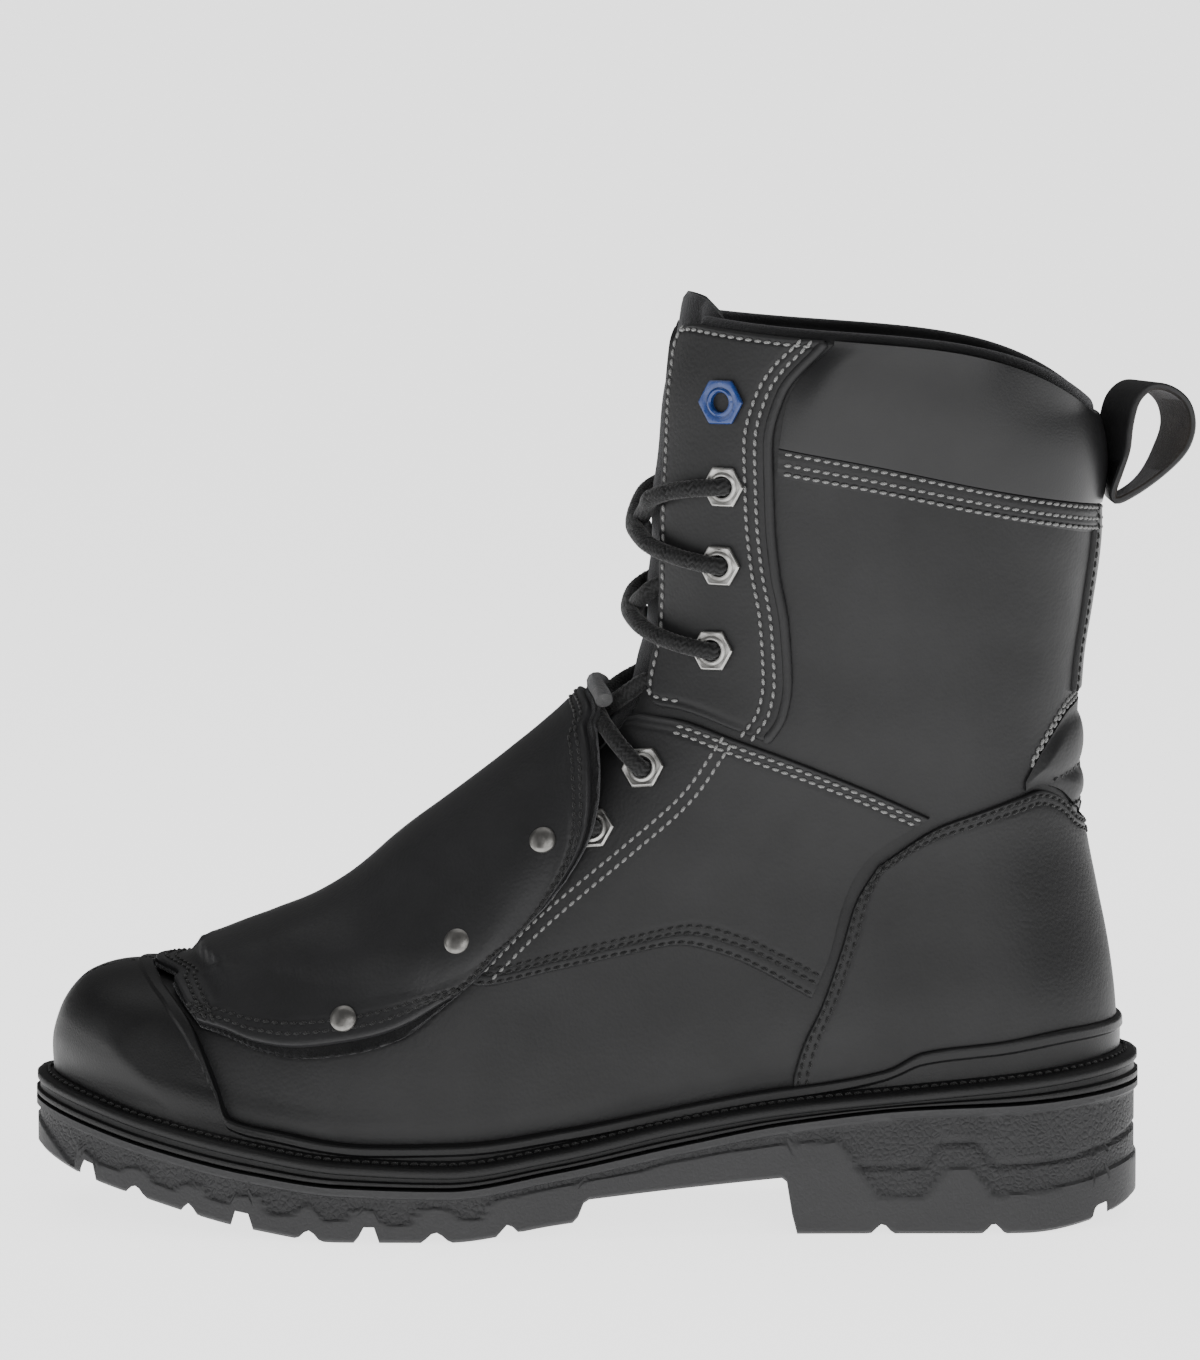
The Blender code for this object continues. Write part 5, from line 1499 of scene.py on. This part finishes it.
SHARES = sole_stations(SOLE_COUNT)
STATION_X = TOE_TIP + (HEEL_END - TOE_TIP) * SHARES


def outline(inset, height):
    """Closed loop of the sole's outline, drawn in by inset, at a height worked out from x."""
    x = STATION_X + inset * (1 - 2 * SHARES) ** 5
    heights = np.broadcast_to(height(x), x.shape)
    lateral = np.stack([x, centre_y(x) - side_half(x, -1.0, inset), heights], axis=1)
    medial = np.stack([x, centre_y(x) + side_half(x, 1.0, inset), heights], axis=1)
    return np.concatenate([lateral, medial[-2:0:-1]])


def strip_faces(count, stations, first, flip):
    """Faces across a loop of the outline, from its outer half to its inner half."""
    faces = []
    for i in range(stations - 1):
        corners = [i, i + 1, (count - i - 1) % count, (count - i) % count]
        corners = [first + corner for corner in dict.fromkeys(corners)]
        faces.append(corners[::-1] if flip else corners)
    return faces


def stack(name, levels, materials, closed=True):
    """Solid through outline loops, each given by its inset and its height."""
    loops = np.array([outline(inset, height) for inset, height in levels])
    rows, count = loops.shape[:2]
    faces = grid_faces(rows, count, ring=True)
    if closed:
        faces += strip_faces(count, SOLE_COUNT, 0, False)
        faces += strip_faces(count, SOLE_COUNT, (rows - 1) * count, True)
    else:
        last = (rows - 1) * count
        faces += [(last + c, last + (c + 1) % count, (c + 1) % count, c) for c in range(count)]
    return piece_of(name, loops, faces, materials)


def tread_z(x):
    """Underside of the outsole: forefoot with toe spring, arch, and heel with its bevel."""
    x = np.asarray(x, float)
    arch_share = (x - FOREFOOT_END) / (HEEL_BREAST - FOREFOOT_END)
    arch = ARCH_FRONT_Z + (ARCH_REAR_Z - ARCH_FRONT_Z) * np.clip(arch_share, 0.0, 1.0)
    bevel = np.clip((x - HEEL_BEVEL_START) / (HEEL_END - HEEL_BEVEL_START), 0.0, 1.0)
    heel = HEEL_BEVEL_RISE * bevel ** 1.8
    rising = np.clip((x - FOREFOOT_END) / BREAST_SLOPE, 0.0, 1.0)
    falling = np.clip((x - HEEL_BREAST + BREAST_SLOPE) / BREAST_SLOPE, 0.0, 1.0)
    low = arch * (1 - falling) + heel * falling
    return SOLE["tread"](x) * (1 - rising) + low * rising


# Each cross groove in the tread: where it is, its width and depth, and how flat its floor is.
TREAD_GROOVES = (
    (-147.0, 5.0, 4.6, 0.7),
    (-133.0, 6.4, 2.8, 0.2),
    (-117.5, 4.8, 2.8, 0.2),
    (-102.5, 5.6, 4.4, 0.7),
    (-83.5, 6.6, 2.9, 0.2),
    (-67.0, 5.8, 4.5, 0.7),
    (-48.0, 8.2, 3.0, 0.2),
    (-28.0, 6.0, 3.0, 0.2),
    (77.0, 6.4, 2.8, 0.2),
    (108.5, 6.4, 2.8, 0.2),
    (139.5, 5.0, 3.6, 0.7),
)
RIM_LUG = 17.0
TRENCH_WIDTH = 4.0
TRENCH_DEPTH = 4.2
TRENCHES = ((-138.0, -16.0), (60.0, 128.0))


def groove_rise(x):
    """How far the cross grooves lift the tread at a station."""
    rise = np.zeros_like(x)
    for middle, width, depth, crown in TREAD_GROOVES:
        away = np.abs(x - middle)
        slope = (width / 2 - away) / (width / 2 * (1 - crown))
        rise = np.maximum(rise, depth * np.clip(slope, 0.0, 1.0))
    return rise


def trench_rise(x, y):
    """How far the long grooves, a lug's width in from the edge, lift the tread."""
    rise = np.zeros_like(x)
    for side in (OUTER, INNER):
        middle = centre_y(x) + side * side_half(x, side, RIM_LUG)
        cut = np.clip((TRENCH_WIDTH / 2 + 0.4 - np.abs(y - middle)) / 0.8, 0.0, 1.0)
        for first, last in TRENCHES:
            rise = np.maximum(rise, TRENCH_DEPTH * cut * ((x > first) & (x < last)))
    return rise


# The textured side panel of the outsole: its lower edge in the side view, with a tooth over
# each tread lug, and the moulded line in the heel.
TEXTURE_LOW = (
    (-163.9, 28.1), (-150.4, 22.6), (-151.3, 15.5), (-143.8, 18.0), (-137.9, 16.7), (-136.0, 17.9),
    (-130.6, 17.9), (-127.7, 14.2), (-122.2, 12.6), (-119.3, 14.5), (-113.9, 14.6), (-112.0, 11.0),
    (-107.1, 9.7), (-104.6, 12.1), (-98.0, 12.4), (-94.9, 7.2), (-88.7, 7.4), (-83.6, 10.7),
    (-79.4, 6.0), (-73.3, 6.1), (-70.6, 9.2), (-66.0, 9.2), (-61.6, 4.7), (-55.7, 4.8), (-52.1, 9.5),
    (-44.9, 9.5), (-41.0, 6.4), (-35.1, 6.2), (-32.1, 11.5), (-2.3, 16.6), (8.9, 18.2), (15.9, 20.3),
    (34.1, 23.3), (52.4, 25.7), (64.7, 26.0), (76.0, 10.3), (88.9, 10.3), (95.0, 18.3), (102.3, 18.3),
    (108.3, 10.6), (123.3, 11.9), (136.7, 13.9), (143.3, 16.3), (152.0, 18.0),
)
HEEL_LINE = ((70.3, 19.1), (88.6, 19.1), (93.0, 25.8), (103.7, 25.8), (108.5, 19.4), (116.7, 19.6),
             (129.8, 20.6), (143.3, 23.7), (152.0, 26.6))
SMOOTH_PROUD = 0.7
SIDE_ROWS = 44
TREAD_COLUMNS = 114


def texture_share(x, z):
    """1 in the textured side panel, 0 in the smooth lugs below it."""
    xs = [p[0] for p in sorted(TEXTURE_LOW)]
    zs = [p[1] for p in sorted(TEXTURE_LOW)]
    low = np.interp(x, xs, zs)
    slope = np.abs(np.gradient(low, axis=-1) / np.maximum(np.gradient(x, axis=-1), 0.2))
    return np.clip((z - low) / (0.55 * np.sqrt(1 + np.clip(slope, 0, 6) ** 2)), 0.0, 1.0)


def heel_line_depth(x, z):
    line = np.array(HEEL_LINE)
    away = line_distance(x, z, line)
    return 0.8 * np.clip(1.2 - away, 0.0, 1.0) * (x > HEEL_LINE[0][0] - 1.0)


def make_outsole(rubber, textured):
    """Lugged rubber outsole: side wall with a textured panel over smooth lugs, and tread."""
    stations = SOLE_COUNT
    top = SOLE["outsole_top"]
    share = np.linspace(0.0, 1.0, SIDE_ROWS)
    x = STATION_X
    loops = []
    masks = []
    floor = tread_z(x) + groove_rise(x)
    for row in share:
        z = (top(x) - 0.9) * (1 - row) + floor * row
        lip = smoothstep(3.4, 2.8, top(x) - z)
        foot = smoothstep(1.2, 0.0, z - tread_z(x))
        panel = texture_share(x, z) * (1 - lip)
        inset = 0.35 * (1 - lip) + SMOOTH_PROUD * panel * (1 - lip) + heel_line_depth(x, z) + 0.9 * foot ** 2
        sides = []
        for side in (-1.0, 1.0):
            along = x + inset * (1 - 2 * SHARES) ** 5
            half = np.maximum(side_half(x, side) - inset * np.clip(side_half(x, side) / 12.0, 0, 1), 0.0)
            sides.append(np.stack([along, centre_y(along) + side * half, z], axis=1))
        loops.append(np.concatenate([sides[0], sides[1][-2:0:-1]]))
        masks.append(np.concatenate([panel, panel[-2:0:-1]]))
    loops = np.array(loops)
    masks = np.array(masks)
    rows, count = loops.shape[:2]
    faces = grid_faces(rows, count, ring=True)
    worn = (masks[:-1] + np.roll(masks, -1, axis=1)[1:]) / 2
    slots = (worn > 0.5).astype(int).ravel().tolist()
    faces += strip_faces(count, stations, 0, False)
    slots += [0] * (stations - 1)
    lower = loops[-1]
    near = lower[:stations]
    far = np.concatenate([lower[:1], lower[:stations - 1:-1], lower[stations - 1:stations]])
    across = np.linspace(0.0, 1.0, TREAD_COLUMNS)
    bottom = near[:, None] * (1 - across[None, :, None]) + far[:, None] * across[None, :, None]
    bx, by = bottom[..., 0], bottom[..., 1]
    bottom[..., 2] = tread_z(bx) + np.maximum(groove_rise(bx), trench_rise(bx, by))
    bottom[:, 0, 2] = near[:, 2]
    bottom[:, -1, 2] = far[:, 2]
    first = rows * count
    faces += grid_faces(stations, TREAD_COLUMNS, first)
    slots += [0] * (len(faces) - len(slots))
    points = np.concatenate([loops.reshape(-1, 3), bottom.reshape(-1, 3)])
    piece = piece_of("lugged_outsole", points, faces, [rubber, textured], slots, sharp=32.0)
    return stand_for(piece, "outsole_rubber", "outsole")


def midsole_top_z(x):
    return SOLE["welt_edge"](x) - WELT_THICK


def make_midsole(rubber):
    """Rubber band between the outsole and the welt, with a lip along its foot."""
    def part_way(share):
        return lambda x: (1 - share) * (SOLE["outsole_top"](x) + 0.1) + share * midsole_top_z(x)

    profile = ((1.3, 1.0), (1.15, 0.97), (1.1, 0.62), (1.15, 0.56), (0.9, 0.5), (0.35, 0.46), (0.05, 0.4),
               (0.0, 0.3), (0.05, 0.12), (0.3, 0.03), (0.7, 0.0))
    piece = stack("midsole_band", [(inset, part_way(share)) for inset, share in profile], [rubber])
    return stand_for(piece, "midsole_rubber", "midsole")


WELT_INNER = UPPER_LEDGE - 1.4
# Insets of the welt's section and its heights over the welt's edge, from its foot inside, over
# its top with the groove for the stitches, to its foot outside.
WELT_PROFILE = (
    (WELT_INNER, SOLE_BED - 0.5 - WELT_THICK), (WELT_INNER, 2.6), (WELT_INNER - 0.5, 2.7), (5.0, 1.75),
    (4.3, 1.25), (3.7, 1.15), (3.1, 1.2), (2.4, 1.15), (1.1, 0.55), (0.5, 0.1), (0.25, -0.5), (0.3, -1.4),
    (0.8, 0.1 - WELT_THICK),
)


def make_welt(rubber, thread_colour):
    """Strip round the upper, its top sloping to a thin outer edge, sewn all the way round."""
    edge = SOLE["welt_edge"]
    levels = [(inset, lambda x, rise=rise: edge(x) + rise) for inset, rise in WELT_PROFILE]
    piece = stack("stitched_welt", levels, [rubber], closed=False)
    stand_for(piece, "midsole_rubber", "welt")
    line = outline(3.7, lambda x: edge(x) + 1.35)
    line = np.concatenate([line, line[:1]])
    normal = np.tile((0.0, 0.0, 1.0), (len(line), 1))
    THREADS[thread_colour].append((line, normal))
    return piece


def make_insole(felt):
    """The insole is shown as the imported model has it, in felt."""
    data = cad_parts["insole"].data
    data.materials.clear()
    data.materials.append(felt)


# Materials

def shader_group(name, inputs, outputs):
    """A shader node group with named sockets; gives the group, its input and its output."""
    tree = bpy.data.node_groups.new(name, "ShaderNodeTree")
    for label, kind, value in inputs:
        socket = tree.interface.new_socket(label, in_out="INPUT", socket_type=kind)
        socket.default_value = value
    for label, kind in outputs:
        tree.interface.new_socket(label, in_out="OUTPUT", socket_type=kind)
    return tree, tree.nodes.new("NodeGroupInput"), tree.nodes.new("NodeGroupOutput")


def math_node(tree, operation, first, second):
    node = add_node(tree, "ShaderNodeMath", {"operation": operation})
    for index, source in enumerate((first, second)):
        if isinstance(source, (int, float)):
            node.inputs[index].default_value = source
        else:
            tree.links.new(source, node.inputs[index])
    return node.outputs[0]


def object_place(tree):
    return add_node(tree, "ShaderNodeTexCoord").outputs["Object"]


def noise_field(tree, place, scale, detail=3.0, rough=0.55):
    node = add_node(tree, "ShaderNodeTexNoise", values={"Scale": scale, "Detail": detail, "Roughness": rough},
                    links={"Vector": place})
    return node.outputs["Fac"]


def grain_group():
    """Pebbled leather grain: a height, and a tone that follows it."""
    tree, given, output = shader_group("leather_grain", (
        ("Cell", "NodeSocketFloat", 900.0), ("Wrinkle", "NodeSocketFloat", 0.35)), (
        ("Height", "NodeSocketFloat"), ("Tone", "NodeSocketFloat")))
    place = object_place(tree)
    warp = add_node(tree, "ShaderNodeTexNoise", None, {"Scale": 120.0, "Detail": 2.0}, {"Vector": place})
    mixed = add_node(tree, "ShaderNodeMixRGB", {"blend_type": "LINEAR_LIGHT"}, {"Fac": 0.0009},
                     {"Color1": place, "Color2": warp.outputs["Color"]})
    cells = add_node(tree, "ShaderNodeTexVoronoi", {"feature": "SMOOTH_F1"}, {"Smoothness": 0.35},
                     {"Vector": mixed.outputs["Color"], "Scale": given.outputs["Cell"]})
    creases = noise_field(tree, place, 260.0, 4.0, 0.6)
    crease_part = math_node(tree, "MULTIPLY", creases, given.outputs["Wrinkle"])
    height = math_node(tree, "ADD", math_node(tree, "MULTIPLY", cells.outputs["Distance"], -0.6), crease_part)
    tree.links.new(height, output.inputs["Height"])
    tree.links.new(noise_field(tree, place, 22.0, 5.0, 0.6), output.inputs["Tone"])
    return tree


def mottle_group():
    """Slow cloudy variation and fine dust: a mask from 0 to 1."""
    tree, given, output = shader_group("handling_marks", (
        ("Scale", "NodeSocketFloat", 18.0), ("Fineness", "NodeSocketFloat", 300.0)), (
        ("Cloud", "NodeSocketFloat"), ("Dust", "NodeSocketFloat")))
    place = object_place(tree)
    cloud = add_node(tree, "ShaderNodeTexNoise", values={"Detail": 4.0, "Roughness": 0.6},
                     links={"Vector": place, "Scale": given.outputs["Scale"]})
    dust = add_node(tree, "ShaderNodeTexNoise", values={"Detail": 6.0, "Roughness": 0.7},
                    links={"Vector": place, "Scale": given.outputs["Fineness"]})
    ramp = add_node(tree, "ShaderNodeMapRange", values={"From Min": 0.55, "From Max": 0.8},
                    links={"Value": dust.outputs["Fac"]})
    tree.links.new(cloud.outputs["Fac"], output.inputs["Cloud"])
    tree.links.new(ramp.outputs["Result"], output.inputs["Dust"])
    return tree


def edge_wear_group():
    """Lighter rubbed edges, from how sharply the surface turns."""
    tree, given, output = shader_group("edge_wear", (
        ("Amount", "NodeSocketFloat", 0.5),), (("Mask", "NodeSocketFloat"),))
    place = object_place(tree)
    turn = add_node(tree, "ShaderNodeNewGeometry").outputs["Pointiness"]
    sharp = add_node(tree, "ShaderNodeMapRange", None, {"From Min": 0.52, "From Max": 0.62}, {"Value": turn})
    broken = noise_field(tree, place, 140.0, 4.0, 0.6)
    mask = math_node(tree, "MULTIPLY", math_node(tree, "MULTIPLY", sharp.outputs["Result"], broken),
                     given.outputs["Amount"])
    tree.links.new(mask, output.inputs["Mask"])
    return tree


GROUPS = {}


def use_group(tree, name, values):
    return add_node(tree, "ShaderNodeGroup", {"node_tree": GROUPS[name]}, values)


def new_material(name, **settings):
    """A material and its Principled shader, with plain values set on the shader's own sockets."""
    material = bpy.data.materials.new(name)
    material.use_nodes = True
    tree = material.node_tree
    shader = tree.nodes["Principled BSDF"]
    for key, value in settings.items():
        shader.inputs[key.replace("_", " ")].default_value = value
    return material, tree, shader


def colour_over(tree, mask, below, high):
    """Mixes by a mask from below, a colour or a socket, to the colour high."""
    node = add_node(tree, "ShaderNodeMix", {"data_type": "RGBA"}, {7: (*high, 1.0)}, {0: mask})
    if isinstance(below, tuple):
        node.inputs[6].default_value = (*below, 1.0)
    else:
        tree.links.new(below, node.inputs[6])
    return node.outputs[2]


def map_to(tree, value, low, high, source_low=0.35, source_high=0.65):
    node = add_node(tree, "ShaderNodeMapRange",
                    values={"From Min": source_low, "From Max": source_high, "To Min": low, "To Max": high},
                    links={"Value": value})
    return node.outputs["Result"]


def bump(tree, shader, height, distance, strength=1.0):
    node = add_node(tree, "ShaderNodeBump", values={"Strength": strength, "Distance": distance},
                    links={"Height": height})
    tree.links.new(node.outputs["Normal"], shader.inputs["Normal"])


def clouded(tree, marks, dark, light):
    return colour_over(tree, map_to(tree, marks.outputs["Cloud"], 0.0, 1.0), dark, light)


def paint(tree, shader, base, tone=None, low=0.0, high=0.0):
    """Sets the shader's colour and, where a tone is given, a roughness that follows it."""
    tree.links.new(base, shader.inputs["Base Color"])
    if tone is not None:
        tree.links.new(map_to(tree, tone, low, high), shader.inputs["Roughness"])


def leather(name, dark, light, rough, cell=900.0, wrinkle=0.35, relief=0.00009, coat=0.0, wear=0.35):
    """Grained leather with cloudy colour and rubbed edges."""
    material, tree, shader = new_material(name, Specular_IOR_Level=0.32, Coat_Weight=coat,
                                          Coat_Roughness=0.35)
    grain = use_group(tree, "leather_grain", {"Cell": cell, "Wrinkle": wrinkle})
    marks = use_group(tree, "handling_marks", {"Scale": 26.0})
    worn = use_group(tree, "edge_wear", {"Amount": wear})
    base = clouded(tree, marks, dark, light)
    base = colour_over(tree, worn.outputs["Mask"], base, tuple(min(c * 2.6 + 0.01, 1.0) for c in light))
    paint(tree, shader, base, grain.outputs["Tone"], rough - 0.05, rough + 0.07)
    bump(tree, shader, grain.outputs["Height"], relief)
    return material


def suede(name, dark, light, fineness=1400.0):
    """Napped leather or felt: matt, with a fuzzy sheen and brushed patches."""
    material, tree, shader = new_material(name, Roughness=0.95, Specular_IOR_Level=0.12, Sheen_Weight=0.35,
                                          Sheen_Roughness=0.5, Sheen_Tint=(0.6, 0.6, 0.62, 1.0))
    marks = use_group(tree, "handling_marks", {"Scale": 55.0, "Fineness": fineness})
    place = object_place(tree)
    nap = noise_field(tree, place, fineness, 5.0, 0.75)
    base = clouded(tree, marks, dark, light)
    base = colour_over(tree, math_node(tree, "MULTIPLY", marks.outputs["Dust"], 0.35), base,
                       tuple(c * 3.0 for c in light))
    paint(tree, shader, base)
    bump(tree, shader, nap, 0.00035)
    return material


def rubber(name, dark, light, rough, relief, scale, wear=0.4):
    """Moulded rubber; a large relief gives the wrinkled side of the sole."""
    material, tree, shader = new_material(name, Specular_IOR_Level=0.3)
    marks = use_group(tree, "handling_marks", {"Scale": 35.0, "Fineness": 500.0})
    worn = use_group(tree, "edge_wear", {"Amount": wear})
    place = object_place(tree)
    wrinkle = add_node(tree, "ShaderNodeTexVoronoi", {"feature": "DISTANCE_TO_EDGE"}, {"Scale": scale},
                       {"Vector": place})
    fine = noise_field(tree, place, scale * 1.6, 5.0, 0.65)
    edge = map_to(tree, wrinkle.outputs["Distance"], 0.0, 0.8, 0.0, 0.35)
    height = math_node(tree, "ADD", edge, fine)
    base = clouded(tree, marks, dark, light)
    base = colour_over(tree, worn.outputs["Mask"], base, tuple(min(c * 2.2 + 0.02, 1.0) for c in light))
    base = colour_over(tree, math_node(tree, "MULTIPLY", marks.outputs["Dust"], 0.25), base,
                       tuple(c * 2.0 for c in light))
    paint(tree, shader, base, marks.outputs["Cloud"], rough - 0.05, rough + 0.06)
    bump(tree, shader, height, relief)
    return material


def metal(name, colour, dark, rough, metallic=1.0, coat=0.0):
    """Plated or enamelled metal, darker in its hollows, with fine scratches."""
    material, tree, shader = new_material(name, Metallic=metallic, Coat_Weight=coat, Coat_Roughness=0.12)
    marks = use_group(tree, "handling_marks", {"Scale": 420.0, "Fineness": 1500.0})
    turn = add_node(tree, "ShaderNodeNewGeometry").outputs["Pointiness"]
    hollow = map_to(tree, turn, 1.0, 0.0, 0.42, 0.5)
    base = clouded(tree, marks, colour, tuple(c * 0.8 for c in colour))
    base = colour_over(tree, hollow, base, dark)
    paint(tree, shader, base, marks.outputs["Cloud"], rough - 0.08, rough + 0.12)
    bump(tree, shader, marks.outputs["Cloud"], 0.00004)
    return material


def thread(name, colour, shade):
    """Twisted sewing thread."""
    material, tree, shader = new_material(name, Roughness=0.7, Specular_IOR_Level=0.3, Sheen_Weight=0.15)
    place = object_place(tree)
    twist = add_node(tree, "ShaderNodeTexWave", {"bands_direction": "DIAGONAL"},
                     {"Scale": 900.0, "Distortion": 1.5}, {"Vector": place})
    base = colour_over(tree, twist.outputs["Fac"], shade, colour)
    paint(tree, shader, base)
    bump(tree, shader, twist.outputs["Fac"], 0.00012)
    return material


def cord_material_painted_braid_shade(name, dark, light):
    material, tree, shader = new_material(name, Roughness=0.72, Specular_IOR_Level=0.32, Sheen_Weight=0.2,
                                          Sheen_Roughness=0.4)
    marks = use_group(tree, "handling_marks", {"Scale": 60.0, "Fineness": 1800.0})
    rib = add_node(tree, "ShaderNodeAttribute", {"attribute_name": "rib"}).outputs["Fac"]
    # Painted shade and highlight: the braid's grooves are coloured dark and its ribs lighter, by each point's
    # rib value.
    raised = map_to(tree, rib, 0.0, 1.0, 0.35, 1.0)
    base = colour_over(tree, raised, dark, light)
    paint(tree, shader, base)
    bump(tree, shader, marks.outputs["Dust"], 0.0001)
    return material


# Studio

CAMERA_PLACE = (-2.28, -1900.0, 332.07)
CAMERA_PITCH = 5.4
LENS = 177.52
SENSOR = 36.0
# The floor's half size and its gap under the sole are in metres.
FLOOR_HALF = 20.0
FLOOR_GAP = 0.0002
FLOOR_SHADE = 0.9
FLOOR_GLOW = 2.1
AMBIENT = 0.16
SURROUND = FLOOR_GLOW + FLOOR_SHADE * AMBIENT


def make_camera():
    data = bpy.data.cameras.new("camera")
    data.sensor_fit = "VERTICAL"
    data.sensor_height = SENSOR
    data.lens = LENS
    data.clip_start = 0.05
    data.clip_end = 20.0
    camera = in_scene("camera", data)
    camera.location = Vector(CAMERA_PLACE) * MM
    camera.rotation_euler = (math.radians(90.0 - CAMERA_PITCH), 0.0, 0.0)
    bpy.context.scene.camera = camera


def area_light(name, place, target, size, power):
    data = bpy.data.lights.new(name, "AREA")
    data.shape = "RECTANGLE"
    data.size = size[0]
    data.size_y = size[1]
    data.energy = power
    light = in_scene(name, data)
    light.location = place
    light.rotation_euler = (Vector(target) - Vector(place)).to_track_quat("-Z", "Y").to_euler()


def make_studio():
    """Pale floor, a pale surround and soft light, most of it from the camera's side."""
    white = (1.0, 1.0, 1.0, 1.0)
    material = new_material("studio_floor", Base_Color=(FLOOR_SHADE, FLOOR_SHADE, FLOOR_SHADE, 1.0),
                            Roughness=0.9, Emission_Color=white, Emission_Strength=FLOOR_GLOW)[0]
    data = bpy.data.meshes.new("studio_floor")
    corners = [(-FLOOR_HALF, -FLOOR_HALF, 0.0), (FLOOR_HALF, -FLOOR_HALF, 0.0),
               (FLOOR_HALF, FLOOR_HALF, 0.0), (-FLOOR_HALF, FLOOR_HALF, 0.0)]
    data.from_pydata(corners, [], [(0, 1, 2, 3)])
    data.materials.append(material)
    floor = in_scene("studio_floor", data)
    floor.location = (0.0, 0.0, -FLOOR_GAP)
    world = bpy.data.worlds.new("studio")
    world.use_nodes = True
    tree = world.node_tree
    shown = add_node(tree, "ShaderNodeBackground", values={"Color": white, "Strength": SURROUND})
    lighting = tree.nodes["Background"]
    lighting.inputs["Color"].default_value = white
    lighting.inputs["Strength"].default_value = AMBIENT
    path = add_node(tree, "ShaderNodeLightPath")
    mixed = add_node(tree, "ShaderNodeMixShader")
    tree.links.new(path.outputs["Is Camera Ray"], mixed.inputs[0])
    tree.links.new(lighting.outputs[0], mixed.inputs[1])
    tree.links.new(shown.outputs[0], mixed.inputs[2])
    tree.links.new(mixed.outputs[0], tree.nodes["World Output"].inputs["Surface"])
    bpy.context.scene.world = world
    area_light("key", (0.25, -1.9, 0.85), (0.0, 0.0, 0.12), (1.5, 0.9), 15.0)
    area_light("overhead", (0.0, 0.3, 1.9), (0.0, 0.0, 0.1), (2.2, 1.5), 9.0)
    area_light("toe_side", (-1.3, -0.5, 0.6), (-0.1, 0.0, 0.08), (0.5, 0.7), 2.0)
    area_light("heel_side", (1.2, 0.3, 0.8), (0.1, 0.0, 0.15), (0.5, 0.8), 1.0)


def main():
    GROUPS["leather_grain"] = grain_group()
    GROUPS["handling_marks"] = mottle_group()
    GROUPS["edge_wear"] = edge_wear_group()
    full_grain = leather("full_grain_black", (0.0072, 0.0072, 0.0076), (0.0106, 0.0106, 0.0112), 0.5)
    # Painted light: the guard's leather gets a lighter colour than the rest of the black leather, to make up
    # for the little light that reaches the guard.
    guard_grain_painted_light = leather("guard_black_painted_light", (0.010, 0.010, 0.0105), (0.0145, 0.0145, 0.0155), 0.45, coat=0.04)
    soft = leather("collar_black", (0.0045, 0.0045, 0.005), (0.0075, 0.0075, 0.008), 0.38, cell=1500.0,
                   relief=0.00004, coat=0.10, wear=0.1)
    strap = leather("strap_black", (0.008, 0.008, 0.0085), (0.014, 0.014, 0.0145), 0.5)
    nap = suede("suede_black", (0.0022, 0.0022, 0.0023), (0.006, 0.006, 0.0062))
    flesh = suede("strap_flesh", (0.010, 0.0085, 0.0075), (0.030, 0.025, 0.021), 900.0)
    lining = suede("mesh_lining", (0.004, 0.004, 0.0042), (0.010, 0.010, 0.0105), 700.0)
    felt = suede("grey_felt", (0.045, 0.045, 0.045), (0.09, 0.09, 0.09), 1100.0)
    cap = rubber("cap_rubber", (0.0045, 0.0045, 0.0048), (0.007, 0.007, 0.0073), 0.42, 0.00003, 900.0,
                 wear=0.15)
    band = rubber("band_rubber", (0.0035, 0.0035, 0.0037), (0.0055, 0.0055, 0.0058), 0.52, 0.00005, 800.0,
                  wear=0.2)
    sole = rubber("sole_rubber", (0.024, 0.024, 0.025), (0.031, 0.031, 0.032), 0.58, 0.00006, 700.0)
    side = rubber("sole_wrinkled", (0.017, 0.017, 0.018), (0.027, 0.027, 0.028), 0.6, 0.00028, 620.0)
    nickel = metal("aged_nickel", (0.42, 0.415, 0.40), (0.05, 0.047, 0.043), 0.34)
    antique = metal("antique_nickel", (0.22, 0.215, 0.205), (0.03, 0.028, 0.026), 0.36)
    enamel = metal("blue_enamel", (0.006, 0.035, 0.17), (0.002, 0.008, 0.04), 0.3, metallic=0.1, coat=0.5)
    white = thread("light_thread", (0.26, 0.26, 0.255), (0.12, 0.12, 0.12))
    black = thread("black_thread", (0.006, 0.006, 0.0062), (0.0025, 0.0025, 0.0025))
    # The lace colour holds painted shade in the braid's grooves and a painted highlight on its ribs.
    cord = cord_material_painted_braid_shade("black_cord", (0.0008, 0.0008, 0.0009), (0.014, 0.014, 0.0145))
    make_camera()
    make_studio()
    make_outsole(sole, side)
    make_midsole(band)
    make_welt(band, "black")
    make_insole(felt)
    make_upper(full_grain, lining)
    make_rand(cap)
    for flank in (OUTER, INNER):
        make_quarter(flank, full_grain)
        make_facing(flank, full_grain)
    make_counter(full_grain)
    make_collar(soft, full_grain, nap)
    make_achilles_pad(full_grain)
    make_back_strip(strap)
    make_tongue(nap)
    make_guard(guard_grain_painted_light, nap, felt)
    make_hardware(nickel, enamel, antique)
    make_laces(cord)
    make_pull_loop(strap, flesh)
    sew_all(white, black)


main()
